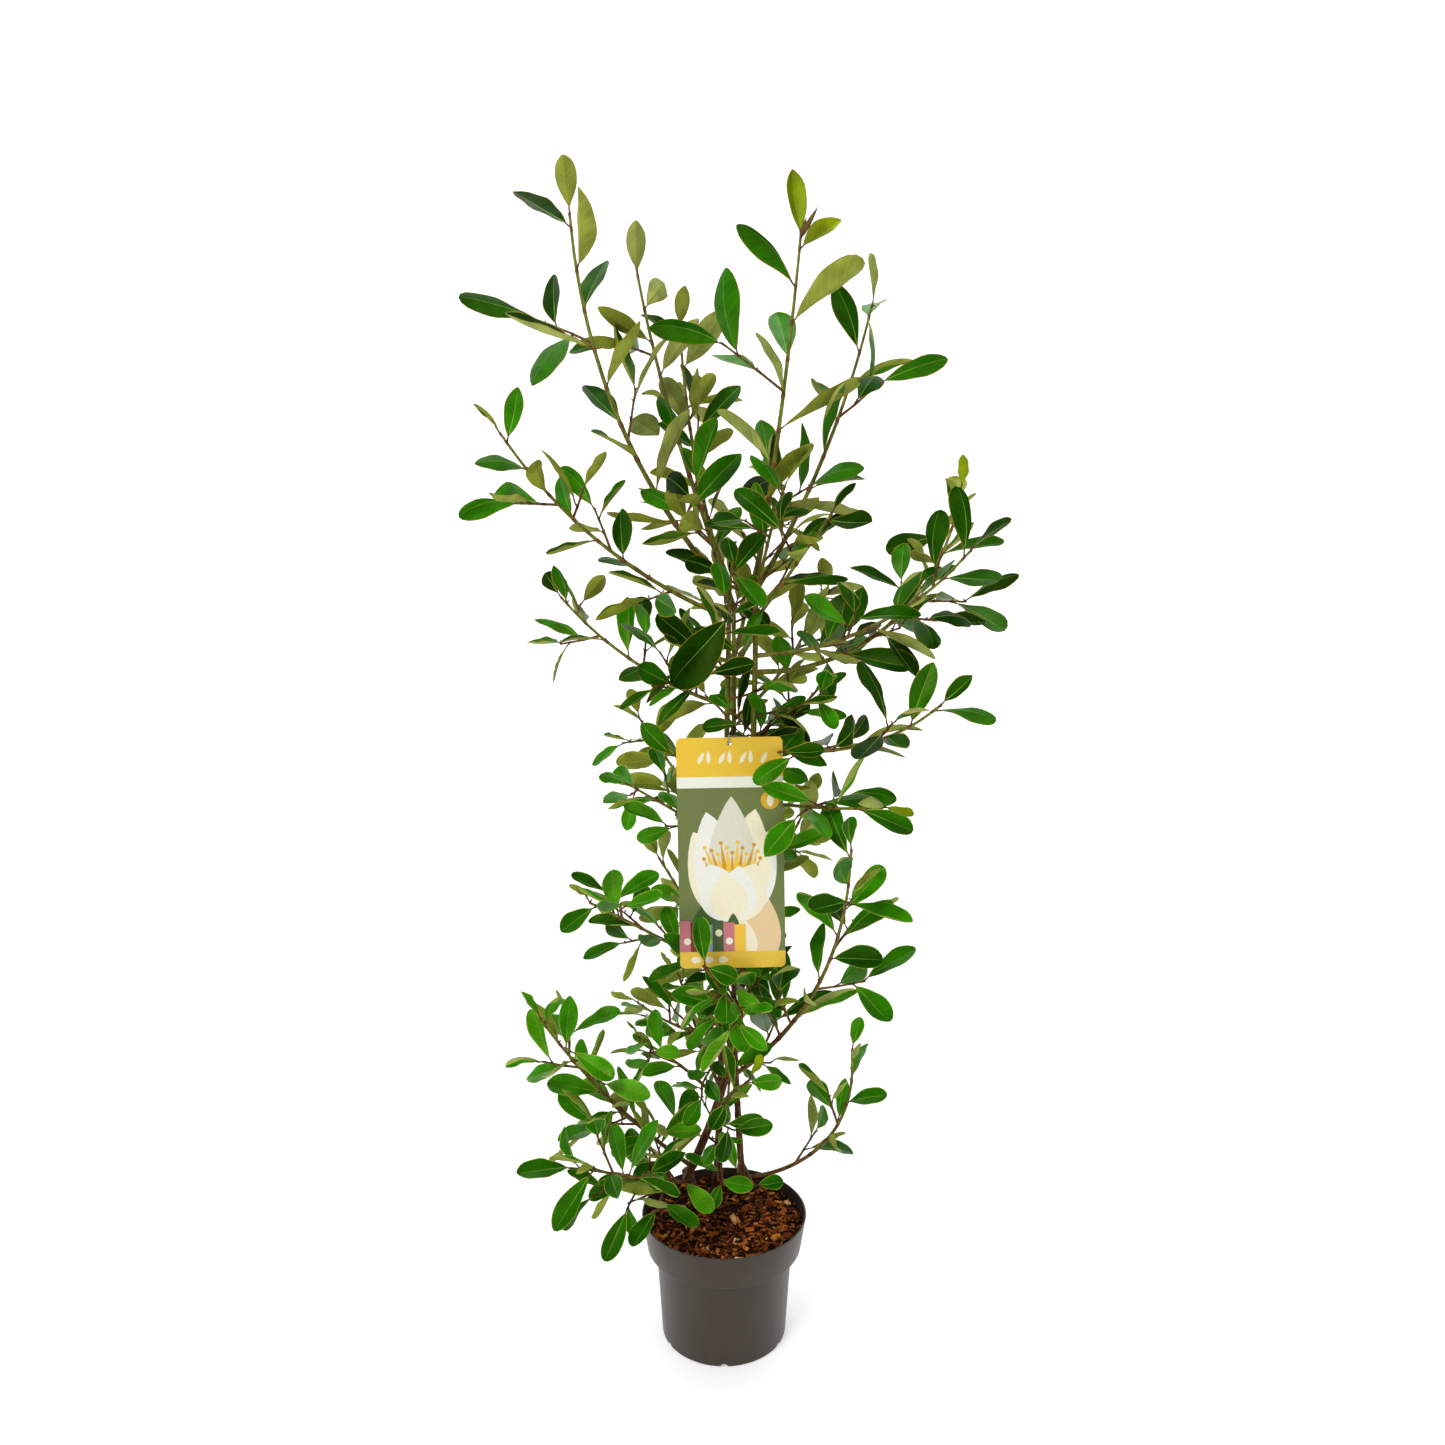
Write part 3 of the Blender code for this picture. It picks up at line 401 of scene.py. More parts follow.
def ramp(tree, source, low, high, edge):
    """Runs from a low to a high colour over the middle of a noise, which starts and ends an edge from its limits."""
    item = node(tree, "ShaderNodeValToRGB", Fac=source)
    for element, position, colour in zip(item.color_ramp.elements, (edge, 1 - edge), (low, high)):
        element.position, element.color = position, colour
    return item.outputs["Color"]


def raise_surface(tree, height, strength, distance):
    relief = node(tree, "ShaderNodeBump", Strength=strength, Distance=distance, Height=height)
    tree.links.new(relief.outputs["Normal"], tree.nodes["Principled BSDF"].inputs["Normal"])


def new_material(name, colour, roughness, specular, tint=(1, 1, 1, 1)):
    material = bpy.data.materials.new(name)
    material.use_nodes = True
    inputs = material.node_tree.nodes["Principled BSDF"].inputs
    inputs["Base Color"].default_value = colour
    inputs["Roughness"].default_value = roughness
    inputs["Specular IOR Level"].default_value = specular
    inputs["Specular Tint"].default_value = tint
    return material


def mottle(material, low, high, scale, bump=0.0, bump_scale=None, dullness=None, stretch=(1, 1, 1)):
    """Mixes two colours by noise, with bump and roughness from finer noise."""
    tree = material.node_tree
    inputs = tree.nodes["Principled BSDF"].inputs
    place = node(tree, "ShaderNodeTexCoord").outputs["Object"]
    spot = node(tree, "ShaderNodeMapping", Vector=place, Scale=stretch).outputs["Vector"]
    cloud = node(tree, "ShaderNodeTexNoise", Vector=spot, Scale=scale, Detail=4, Roughness=0.6).outputs["Fac"]
    tree.links.new(ramp(tree, cloud, low, high, 0.36), inputs["Base Color"])
    fine = node(tree, "ShaderNodeTexNoise", Vector=spot, Scale=bump_scale or scale * 4, Detail=3).outputs["Fac"]
    if bump:
        raise_surface(tree, fine, bump, 0.0004)
    if dullness:
        span = node(tree, "ShaderNodeMapRange", Value=fine, To_Min=dullness[0], To_Max=dullness[1])
        tree.links.new(span.outputs["Result"], inputs["Roughness"])
    return material


def mottled(name, colour, shades, scale, roughness, specular, tint=(1, 1, 1, 1), **relief):
    """A new material, mottled between a darker and a lighter share of its colour."""
    low, high = (scaled(colour, shade) for shade in shades)
    return mottle(new_material(name, colour, roughness, specular, tint), low, high, scale, **relief)


# Meshes joined from many small shapes
class Batch:
    """Corners and faces of many small shapes, which become one mesh with several materials."""

    def __init__(self):
        self.corners, self.faces, self.slots, self.uvs = [], [], [], []
        self.count = 0

    def add(self, corners, faces, slots, uvs=None):
        """Adds a shape; slots is one material number, or one for each face."""
        self.corners.append(np.asarray(corners, float))
        self.faces.extend(tuple(index + self.count for index in face) for face in faces)
        self.slots.extend([slots] * len(faces) if isinstance(slots, int) else slots)
        self.uvs.append(np.zeros((len(corners), 2)) if uvs is None else uvs)
        self.count += len(corners)

    def build(self, name, materials, smooth=True):
        mesh = bpy.data.meshes.new(name)
        mesh.from_pydata(np.concatenate(self.corners).tolist(), [], self.faces)
        for material in materials:
            mesh.materials.append(material)
        mesh.polygons.foreach_set("material_index", self.slots)
        loops = np.zeros(len(mesh.loops), int)
        mesh.loops.foreach_get("vertex_index", loops)
        layer = mesh.uv_layers.new(name="UVMap")
        layer.data.foreach_set("uv", np.concatenate(self.uvs)[loops].astype(np.float32).ravel())
        if smooth:
            mesh.shade_smooth()
        mesh.validate()
        return add_object(name, mesh)


def bmesh_parts(bm):
    """The corners and faces of a bmesh, which is freed."""
    bmesh.ops.recalc_face_normals(bm, faces=bm.faces)
    bm.verts.index_update()
    corners = np.array([tuple(vertex.co) for vertex in bm.verts])
    faces = [tuple(vertex.index for vertex in face.verts) for face in bm.faces]
    bm.free()
    return corners, faces


def finish_piece(item, slot, *nodes):
    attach(item, "root")
    if nodes:
        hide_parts(*nodes)
    return item


# Limb paths, as in the solids
def direction(heading, rise):
    heading, rise = math.radians(heading), math.radians(rise)
    return Vector((math.cos(rise) * math.cos(heading), math.cos(rise) * math.sin(heading), math.sin(rise)))


def lean(way, side, angle):
    """The direction that lies an angle away from one way, towards another square to it."""
    return (way * math.cos(angle) + side * math.sin(angle)).normalized()


def square_to(way, along):
    """The part of a way that is square to another, at length 1."""
    return (way - along * way.dot(along)).normalized()


def course(start, arc):
    """Points along a limb that turns evenly from one heading and rise to the next."""
    steps = max(3, round(arc.length / STEP_LENGTH))
    points = [Vector(start)]
    for step in range(steps):
        share = (step + 0.5) / steps
        way = direction(arc.heading + arc.swing * share, arc.rise + (arc.lift - arc.rise) * share)
        points.append(points[-1] + way * (arc.length / steps))
    return points


def along_path(points, distance):
    """The point and the direction at a distance along a path."""
    for start, end in zip(points, points[1:]):
        length = (end - start).length
        if distance <= length:
            break
        distance -= length
    way = (end - start).normalized()
    return start + way * distance, way


def path_length(points):
    return sum((end - start).length for start, end in zip(points, points[1:]))


def point_at_height(points, height):
    for start, end in zip(points, points[1:]):
        if end.z >= height:
            return start.lerp(end, (height - start.z) / (end.z - start.z))
    return points[-1].copy()


def path_beyond(points, distance):
    """What is left of a path beyond a distance from its foot."""
    rest = list(points)
    while len(rest) > 2 and distance > (rest[1] - rest[0]).length:
        distance -= (rest[1] - rest[0]).length
        rest.pop(0)
    rest[0] = rest[0] + (rest[1] - rest[0]).normalized() * distance
    return rest


def stem_path(stem, paths):
    if isinstance(stem.foot, str):
        parent = paths[stem.foot]
        points = [parent[-1] - (parent[-1] - parent[-2]).normalized() * FORK_DEPTH]
    else:
        way = direction(stem.arcs[0].heading, stem.arcs[0].rise)
        points = [Vector((*stem.foot, MIX_TOP)) - way * ROOT_DEPTH, Vector((*stem.foot, MIX_TOP))]
    for arc in stem.arcs:
        points += course(points[-1], arc)[1:]
    return points


def stem_radius(stem, reach, travelled, height):
    """The radius of a stem: an even taper above the first arc, with a flare at the mix."""
    knee = stem.arcs[0].length
    radius = stem.foot_radius + min(1, travelled / knee) * (stem.radius - stem.foot_radius)
    beyond = max(0, travelled - knee) / max(STEP_LENGTH, reach - knee)
    radius += beyond * (stem.tip_radius - stem.radius)
    return radius + stem.flare * math.exp(-max(0, height - MIX_TOP) / FLARE_FALL)


def shoot_radius(shoot, share):
    foot = SHOOT_RADIUS + SHOOT_RADIUS_BY_LENGTH * shoot.length
    return foot + share * (TIP_RADIUS - foot)


# Growth, as in the solids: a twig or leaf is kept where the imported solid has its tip
def blade_point(leaf, share, across, lift):
    """A point of the bent blade: a share of its length, a way across and a way up."""
    turn = leaf.bend * share
    reach = leaf.length * math.sin(turn) / leaf.bend
    sink = leaf.length * (1 - math.cos(turn)) / leaf.bend
    normal = leaf.up * math.cos(turn) + leaf.along * math.sin(turn)
    side = leaf.along.cross(leaf.up)
    return leaf.base + leaf.along * reach - leaf.up * sink + side * across + normal * lift


def blade_up(along, axis, rng):
    """The blade's upper side: mostly skyward and partly towards the limb, rolled a little."""
    up = Vector((0, 0, 1)) * SKYWARD + axis * LIMBWARD
    up -= along * up.dot(along)
    if up.length < 0.15:
        up = axis - along * axis.dot(along)
    up.normalize()
    return Matrix.Rotation(math.radians(rng.uniform(-LEAF_ROLL, LEAF_ROLL)), 3, along) @ up


def site_side(axis, turn):
    """A direction square to a limb: sideways for a level limb, all round for an upright one."""
    level = Vector((0, 0, 1)).cross(axis)
    if level.length < 0.05:
        level = Vector((1, 0, 0)).cross(axis)
    level.normalize()
    upward = axis.cross(level)
    flatness = LEVEL_FLATNESS + (1 - LEVEL_FLATNESS) * abs(axis.z)
    return (level * math.cos(turn) + upward * math.sin(turn) * flatness).normalized()


def bent_leaf(base, along, up, length, width, bend, young=False):
    """A leaf that starts half its bend above its chord."""
    start = lean(along, up, bend / 2)
    return Leaf(base, start, square_to(up, start), length, width, bend, young)


def new_leaf(base, axis, turn, spread, length, rng, young=False):
    along = lean(axis, site_side(axis, turn), spread)
    length *= rng.uniform(*LEAF_LENGTHS)
    width = LEAF_WIDTH * (length / LEAF_WIDTH_AT) ** LEAF_WIDTH_POWER * rng.uniform(*LEAF_WIDTHS)
    bend = math.radians(rng.uniform(*LEAF_BEND))
    return bent_leaf(base, along, blade_up(along, axis, rng), length, width, bend, young)


def corner_tree(name):
    """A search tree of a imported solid's corners."""
    vertices = frame["nodes"][name].data.vertices
    tree = KDTree(len(vertices))
    for vertex in vertices:
        tree.insert(vertex.co, vertex.index)
    tree.balance()
    return tree


def stands(points, tree):
    return any(tree.find(point)[2] < SAME_PLACE for point in points)


def twig_tip_corners(twig):
    side = twig.along.orthogonal().normalized()
    tip = twig.foot + twig.along * twig.length
    turns = [math.tau * index / TWIG_SIDES for index in range(TWIG_SIDES)]
    return [tip + Matrix.Rotation(turn, 3, twig.along) @ side * SOLID_TWIG_TIP_RADIUS for turn in turns]


def grow_twigs(shoot, path, tree, rng):
    """Side twigs along a mass's stem, each tried at a few turns until one stands in the solid."""
    twigs = []
    reach = path_length(path)
    for index in range(shoot.twigs):
        distance = reach * (index + 0.35) / (shoot.twigs + 0.5)
        for _ in range(TRIES):
            foot, axis = along_path(path, distance + rng.uniform(-TWIG_SHIFT, TWIG_SHIFT))
            side = site_side(axis, index * GOLDEN_TURN + rng.uniform(-1.2, 1.2))
            spread = math.radians(rng.uniform(*TWIG_SPREAD))
            twig = Twig(foot, lean(axis, side, spread), shoot.leaf * rng.uniform(*TWIG_LENGTHS))
            if stands(twig_tip_corners(twig), tree):
                twigs.append(twig)
                break
    return twigs


def leaf_sites(shoot, path, twigs, rng):
    """Where leaves sit: alternately up the stem, then along each twig, with one at each tip."""
    sites = []
    reach = path_length(path)
    count = int((reach - 0.006) / shoot.spacing)
    turn = rng.uniform(0, math.tau)
    for index in range(count):
        distance = reach - shoot.spacing * (index + 0.35)
        base, axis = along_path(path, distance)
        size = shoot.leaf * (1 if index else LAST_LEAF)
        sites.append((base, axis, turn + index * GOLDEN_TURN, math.radians(LEAF_SPREAD), size, index == 0))
    tip, axis = along_path(path, reach - 0.001)
    sites.append((tip, axis, turn + 2, math.radians(TIP_LEAF_SPREAD), shoot.leaf * YOUNG_LEAF, True))
    for twig in twigs:
        turn = rng.uniform(0, math.tau)
        for share in TWIG_LEAF_SITES:
            base = twig.foot + twig.along * (twig.length * share)
            spread = math.radians(TWIG_TIP_SPREAD if share == TWIG_LEAF_SITES[0] else TWIG_LEAF_SPREAD)
            sites.append((base, twig.along, turn, spread, shoot.leaf * (1.08 - 0.2 * share), False))
            turn += GOLDEN_TURN
    return sites


def grow_leaves(shoot, path, twigs, tree, rng):
    leaves = []
    for base, axis, turn, spread, length, young in leaf_sites(shoot, path, twigs, rng):
        for attempt in range(TRIES):
            size = length * (1 - LEAF_SHRINK * attempt)
            leaf = new_leaf(base, axis, turn, spread, size, rng, young)
            turn += rng.uniform(0.5, 1.0) * (-1) ** attempt * (attempt + 1)
            if stands([blade_point(leaf, 1, 0, 0)], tree):
                leaves.append(leaf)
                break
    return leaves


# Leaf blades
BLADE_COLUMNS = 11
BLADE_CENTRE = BLADE_COLUMNS // 2
TOP, UNDERSIDE, RIB_TOP, RIB_UNDER, MARGIN = range(5)


def blade_faces():
    """Faces of one leaf and the kind of surface that each belongs to."""
    columns, rows = BLADE_COLUMNS, BLADE_ROWS
    under = columns * rows
    tip = under + (columns - 2) * rows

    def corner(row, column, upper):
        if upper or column in (0, columns - 1):
            return row * columns + column
        return under + row * (columns - 2) + column - 1

    faces, kinds = [], []
    for upper in (True, False):
        for column in range(columns - 1):
            if column in (0, columns - 2):
                kind = MARGIN
            elif column in (BLADE_CENTRE - 1, BLADE_CENTRE):
                kind = RIB_TOP if upper else RIB_UNDER
            else:
                kind = TOP if upper else UNDERSIDE
            for row in range(rows - 1):
                face = [corner(row, column, upper), corner(row, column + 1, upper),
                        corner(row + 1, column + 1, upper), corner(row + 1, column, upper)]
                faces.append(face if upper else face[:1] + face[:0:-1])
                kinds.append(kind)
            face = [corner(rows - 1, column, upper), corner(rows - 1, column + 1, upper), tip]
            faces.append(face if upper else face[:1] + face[:0:-1])
            kinds.append(kind)
    foot = [corner(0, column, False) for column in range(columns)]
    foot += [corner(0, column, True) for column in range(columns - 2, 0, -1)]
    faces.append(foot)
    kinds.append(UNDERSIDE)
    return faces, kinds


BLADE_FACES, BLADE_KINDS = blade_faces()


def blade_corners(leaf, turned, pointed, rng):
    """Corners of a leaf: an elliptic outline, folded along the midrib, waved, twisted and curled."""
    start = PETIOLE_LENGTH / leaf.length
    rise = rng.uniform(*OUTLINE_RISE)
    fall = rng.uniform(*(OUTLINE_POINTED if rng.random() < pointed else OUTLINE_ROUND))
    peak = rise / (rise + fall)
    full = peak ** rise * (1 - peak) ** fall
    share = 1 - np.cos(np.linspace(*BLADE_SPAN, BLADE_ROWS) * math.pi / 2) ** 1.25
    share = np.append(share, 1)[:, None]
    half = leaf.width / 2 * share ** rise * (1 - share) ** fall / full
    half = np.maximum(half, LEAST_HALF_WIDTH * (1 - share))
    margin = np.clip(1 - MARGIN_WIDTH / np.maximum(half, 1e-6), 0.6, 1)
    rib = np.clip(RIB_HALF_WIDTH * (1.15 - share) / np.maximum(half, 1e-6), 0, 0.4)
    zero = np.zeros_like(half)
    inner, outer = rib + (margin - rib) * INNER_COLUMN, rib + (margin - rib) * OUTER_COLUMN
    across = np.hstack([zero - 1, -margin, -outer, -inner, -rib, zero, rib, inner, outer, margin, zero + 1])
    fold = rng.uniform(*LEAF_FOLD)
    keel = -fold * half * (1 - np.abs(across) ** 1.4)
    phase, waves = rng.uniform(0, math.tau), rng.uniform(*WAVE_COUNTS)
    wave = WAVE_HEIGHT * np.sin(math.tau * waves * share + phase + across * 1.3)
    wave = wave * across ** 2 * np.sin(math.pi * share)
    cup = rng.uniform(*CUPPING) * half * across ** 2
    curl = rng.uniform(*TIP_CURL) * leaf.length * np.clip((share - 0.6) / 0.4, 0, 1) ** 2
    lift = keel + wave + cup - curl
    twist = rng.uniform(-TWIST, TWIST) * share
    drift = rng.uniform(-SIDE_DRIFT, SIDE_DRIFT) * leaf.length * share ** 2
    thick = BLADE_THICKNESS * (1 - 0.6 * across ** 2) * np.clip((1 - share) * 8, 0.15, 1)
    ridge = np.zeros_like(across)
    ridge[:, BLADE_CENTRE] = RIB_HEIGHT
    fade = 1.1 - share
    flat = math.sqrt(1 - (0.8 * fold) ** 2)
    layers = []
    for upper in (True, False):
        offset = thick / 2 - 0.5 * ridge * fade if upper else -thick / 2 - ridge * fade * 1.3
        offset[:, [0, -1]] = 0
        side = across * half * flat
        height = -lift - offset if turned else lift + offset
        layers.append((side * np.cos(twist) - height * np.sin(twist) + drift,
                       side * np.sin(twist) + height * np.cos(twist)))
    turn = leaf.bend * (start + (1 - start) * share)
    reach = leaf.length * np.sin(turn) / leaf.bend
    sink = leaf.length * (1 - np.cos(turn)) / leaf.bend
    up, along = np.array(leaf.up), np.array(leaf.along)
    side = np.cross(along, up)
    spine = np.array(leaf.base) + along * reach - up * sink
    normal = up * np.cos(turn) + along * np.sin(turn)
    points = [spine[:, None, :] + side * a[..., None] + normal[:, None, :] * b[..., None] for a, b in layers]
    top, underside = points[::-1] if turned else points
    corners = np.concatenate([top[:-1].reshape(-1, 3), underside[:-1, 1:-1].reshape(-1, 3), top[-1:, BLADE_CENTRE]])
    length_share = np.broadcast_to(share, across.shape)
    plan = np.stack([across, length_share], axis=-1)
    uvs = np.concatenate([plan[:-1].reshape(-1, 2), plan[:-1, 1:-1].reshape(-1, 2), [[0, 1]]])
    return corners, uvs


# Colours of the leaves' upper and lower sides, as seen in the photograph
LEAF_TOPS = ((17, 52, 0), (24, 75, 0), (31, 94, 0), (41, 113, 1), (51, 128, 2), (70, 143, 5))
LEAF_UNDERS = ((118, 128, 42), (129, 139, 54), (141, 151, 76))
LEAF_YOUNG = ((112, 130, 1), (132, 148, 6))
RIB_TOP_COLOUR = (112, 150, 52)
RIB_UNDER_COLOUR = (144, 138, 50)
MARGIN_COLOUR = (148, 126, 40)
LOW_MARGIN_COLOUR = (150, 176, 62)
PETIOLE_COLOUR = (76, 46, 12)
BUD_COLOUR, BUD_DARK, BUD_LIGHT = (84, 56, 18), (60, 36, 12), (112, 86, 28)
LEAF_SHEEN = (0.85, 1, 0.20, 1)
LEAF_KINDS = (
    LeafKind("top", LEAF_TOPS, 0.44, -0.026, 0.10, 0.045, 0.22, 0.35),
    LeafKind("young", LEAF_YOUNG, 0.40, 0, 0.18, 0, 0.20, 0.3),
    LeafKind("underside", LEAF_UNDERS, 0.62, 0, 0.05, 0, 0.15, 0.3),
)
SHADE_SPREAD = 0.8
VEINS_PER_LEAF = 8
VEIN_SKEW = -0.20
STEEP = 0.93
FRONT_SPRAYS = ("right_front", "right_back", "tag_right_upper", "tag_right_lower", "top_right")
SIDE_PULL = 4
BACK_FROM = 0.032
BACK_SLOPE = 0.22
OLD_SPRAYS = ("front_high", "front_low")
DARK_SPRAYS = ("large_front_leaf", "front_high")
DARK_SHADE = 0


def add_veins(material, colour, tint, bump):
    """Side veins that leave the midrib forwards, read from the leaf's own plan."""
    tree = material.node_tree

    def maths(operation, *values):
        return node(tree, "ShaderNodeMath", *values, operation=operation).outputs[0]

    plan = node(tree, "ShaderNodeUVMap").outputs["UV"]
    across, along, _ = node(tree, "ShaderNodeSeparateXYZ", Vector=plan).outputs
    place = maths('ADD', along, maths('MULTIPLY', maths('ABSOLUTE', across), VEIN_SKEW))
    wave = maths('COSINE', maths('MULTIPLY', place, VEINS_PER_LEAF * math.tau))
    vein = node(tree, "ShaderNodeMapRange", Value=wave, From_Min=0.55, From_Max=1.0).outputs["Result"]
    spot = node(tree, "ShaderNodeTexCoord").outputs["Object"]
    cloud = node(tree, "ShaderNodeTexNoise", Vector=spot, Scale=60, Detail=0.5, Roughness=0.4).outputs["Fac"]
    base = ramp(tree, cloud, scaled(colour, 0.80), scaled(colour, 1.22), 0.33)
    mix = node(tree, "ShaderNodeMix", data_type='RGBA', Factor=maths('MULTIPLY', vein, tint), A=base,
               B=scaled(colour, 1.9))
    tree.links.new(mix.outputs["Result"], tree.nodes["Principled BSDF"].inputs["Base Color"])
    bulge = node(tree, "ShaderNodeTexNoise", Vector=spot, Scale=150, Detail=1).outputs["Fac"]
    raise_surface(tree, maths('MULTIPLY_ADD', vein, -0.5, bulge), bump, 0.00012)


def leaf_materials():
    """All the materials of the leaves, and where each kind starts in the list."""
    materials, first = [], {}
    for kind in LEAF_KINDS:
        first[kind.name] = len(materials)
        for index, colour in enumerate(kind.colours):
            roughness, gloss = kind.roughness + kind.smoother * index, kind.gloss + kind.glossier * index
            material = new_material(f"leaf_{kind.name}_{index + 1}", seen(colour), roughness, gloss, LEAF_SHEEN)
            add_veins(material, seen(colour), kind.veins, kind.bump)
            materials.append(material)
    for kind, colour, roughness in (("rib_top", RIB_TOP_COLOUR, 0.45), ("rib_under", RIB_UNDER_COLOUR, 0.6),
                                    ("margin", MARGIN_COLOUR, 0.5), ("low_margin", LOW_MARGIN_COLOUR, 0.5)):
        first[kind] = len(materials)
        materials.append(mottled("leaf_" + kind, seen(colour), (0.8, 1.15), 120, roughness, 0.12, LEAF_SHEEN))
    return materials, first


def turns_back(leaf, front, chance, rng):
    """Whether a steep leaf has its glossy side on the far side of the one that faces up."""
    normal = leaf.up * math.cos(leaf.bend / 2) + leaf.along * math.sin(leaf.bend / 2)
    if front:
        return normal.y > 0.10
    behind = leaf.base.y > BACK_FROM + BACK_SLOPE * abs(leaf.base.x)
    outward = Vector((leaf.base.x * SIDE_PULL, 1 if behind else -1, 0)).normalized()
    draw = rng.random()
    return abs(normal.z) < STEEP and draw < chance * clamp(-0.1 - 3.5 * normal.dot(outward), 0, 1)


def leaf_slots(leaf, turned, shade, young_chance, margin, first, rng):
    """Deals a leaf its greens: a shade of its spray, with some leaves darker or brighter."""
    if leaf.young and rng.random() < young_chance:
        top = first["young"] + rng.randrange(len(LEAF_YOUNG))
    else:
        top = first["top"] + clamp(round(shade + rng.gauss(0, 1.0)), 0, len(LEAF_TOPS) - 1)
    under = first["underside"] + rng.randrange(len(LEAF_UNDERS))
    by_kind = {TOP: top, UNDERSIDE: under, RIB_TOP: first["rib_top"], RIB_UNDER: first["rib_under"],
               MARGIN: first[margin]}
    if turned:
        by_kind.update({TOP: under, UNDERSIDE: top, RIB_TOP: first["rib_under"], RIB_UNDER: first["rib_top"]})
    return [by_kind[kind] for kind in BLADE_KINDS]


# Round limbs with relief
def smooth_path(points, step):
    """A rounded line through a path's points, with one point at each step."""
    padded = [points[0] * 2 - points[1]] + list(points) + [points[-1] * 2 - points[-2]]
    line = []
    for index in range(1, len(padded) - 2):
        a, b, c, d = padded[index - 1:index + 3]
        count = max(1, round((c - b).length / step))
        for number in range(count):
            t = number / count
            line.append(0.5 * (2 * b + (c - a) * t + (2 * a - 5 * b + 4 * c - d) * t ** 2
                               + (3 * b - 3 * c + d - a) * t ** 3))
    line.append(points[-1])
    return np.array([tuple(point) for point in line])


def travelled_along(line):
    steps = np.linalg.norm(np.diff(line, axis=0), axis=1)
    return np.concatenate([[0], np.cumsum(steps)])


def sweep(line, radii, sides):
    """Rings of corners round a line, with caps; radii has a number, or a row with one for each side, per ring."""
    ways = np.gradient(line, axis=0)
    ways /= np.linalg.norm(ways, axis=1)[:, None]
    spoke = np.array(Vector(ways[0]).orthogonal().normalized())
    turns = np.linspace(0, math.tau, sides, endpoint=False)
    rings = []
    for centre, way, radius in zip(line, ways, radii):
        spoke = spoke - way * spoke.dot(way)
        spoke /= np.linalg.norm(spoke)
        spokes = np.cos(turns)[:, None] * spoke + np.sin(turns)[:, None] * np.cross(way, spoke)
        rings.append(centre + np.reshape(radius, (-1, 1)) * spokes)
    faces = []
    for ring in range(len(line) - 1):
        for side in range(sides):
            here, following = ring * sides + side, ring * sides + (side + 1) % sides
            faces.append((here, following, following + sides, here + sides))
    last = (len(line) - 1) * sides
    faces.append(tuple(range(sides - 1, -1, -1)))
    faces.append(tuple(range(last, last + sides)))
    return np.concatenate(rings), faces


def swell(radii, along, places, amount, reach):
    """Thickens a limb round some places along it."""
    for place in places:
        radii = (radii.T * (1 + amount * np.exp(-((along - place) / reach) ** 2))).T
    return radii


def bark_relief(line, sides, grain, amount, seed):
    """A share added to each radius: long ridges and small knobs that run with the limb."""
    relief = np.zeros((len(line), sides))
    for ring, along in enumerate(travelled_along(line)):
        for side in range(sides):
            turn = math.tau * side / sides
            place = Vector((math.cos(turn) * 1.3 + seed, math.sin(turn) * 1.3, along * grain))
            knob = Vector((math.cos(turn) * 2.6, math.sin(turn) * 2.6 + seed, along * grain * 4))
            relief[ring, side] = noise.noise(place) + 0.5 * noise.noise(knob)
    return relief * amount


# From old dark wood to green young wood
BARK_SHADES = ((68, 38, 13), (94, 57, 22), (106, 70, 27), (94, 70, 18), (98, 88, 18), (102, 104, 22), (112, 122, 28))
NODE_SHADE = -2.6
NODE_REACH = 0.0022
STREAK = 1.8
LEADER_BUDS = (((0.55, -0.20, 0.90), 0.029, 0.0026), ((0.30, -0.30, 1.00), 0.017, 0.0021))
BARK_SWELL = 1.22
# Grain along the limb for each metre, and depth as a share of the radius
STEM_BARK, BOUGH_BARK = (55, 0.13), (70, 0.07)
STEM_SIDES = 18
STEM_STEP = 0.0022
TRUNK_OVERLAP = 0.002
KNOT_SPACING = 0.028
KNOT_REACH = 0.0022
KNOT_SWELL = 0.10
BOUGH_SIDES = 12
BOUGH_STEP = 0.0026
ON_LIMB = 0.002
SCAR_REACH = 0.0020
SCAR_SWELL = 0.22
FINE_SIDES = 8
TWIG_STEP = 0.0035
STALK_WIDTHS = (1.5, 1.15, 1.0, 0.95, 0.85, 0.5)
BUD_CHANCE = 0.6
BUD_LENGTHS = (0.0022, 0.0036)
BUD_RADIUS = 0.0008
BUD_PROFILE = ((0, 0.5), (0.15, 0.9), (0.4, 1.0), (0.65, 0.75), (0.85, 0.4), (1, 0.06))


def ring_shades(line, levels, sides, nodes, seed):
    """A bark shade for each face of a swept limb: soft streaks, darker where leaves leave it."""
    along = travelled_along(line)
    slots = []
    top = len(BARK_SHADES) - 1
    for ring in range(len(line) - 1):
        middle = (along[ring] + along[ring + 1]) / 2
        scar = NODE_SHADE if any(abs(middle - place) < NODE_REACH for place in nodes) else 0
        for side in range(sides):
            turn = math.tau * side / sides
            streak = noise.noise(Vector((math.cos(turn) * 1.2 + seed, math.sin(turn) * 1.2, middle * 60)))
            slots.append(clamp(round(levels[ring] + scar + STREAK * streak), 0, top))
    return slots + [0, clamp(round(levels[-1]), 0, top)]


def bark_materials():
    return [mottled(f"bark_{index + 1}", seen(shade), (0.62, 1.35), 260, 0.7 - 0.04 * index, 0.25, bump=0.6,
                    bump_scale=700, stretch=(1, 1, 0.35)) for index, shade in enumerate(BARK_SHADES)]


def wood_level(height):
    """How green a stem is at a height: brown at the foot, olive above the tag."""
    return 0.6 + 4.2 * clamp((height - 0.22) / 0.42, 0, 1)


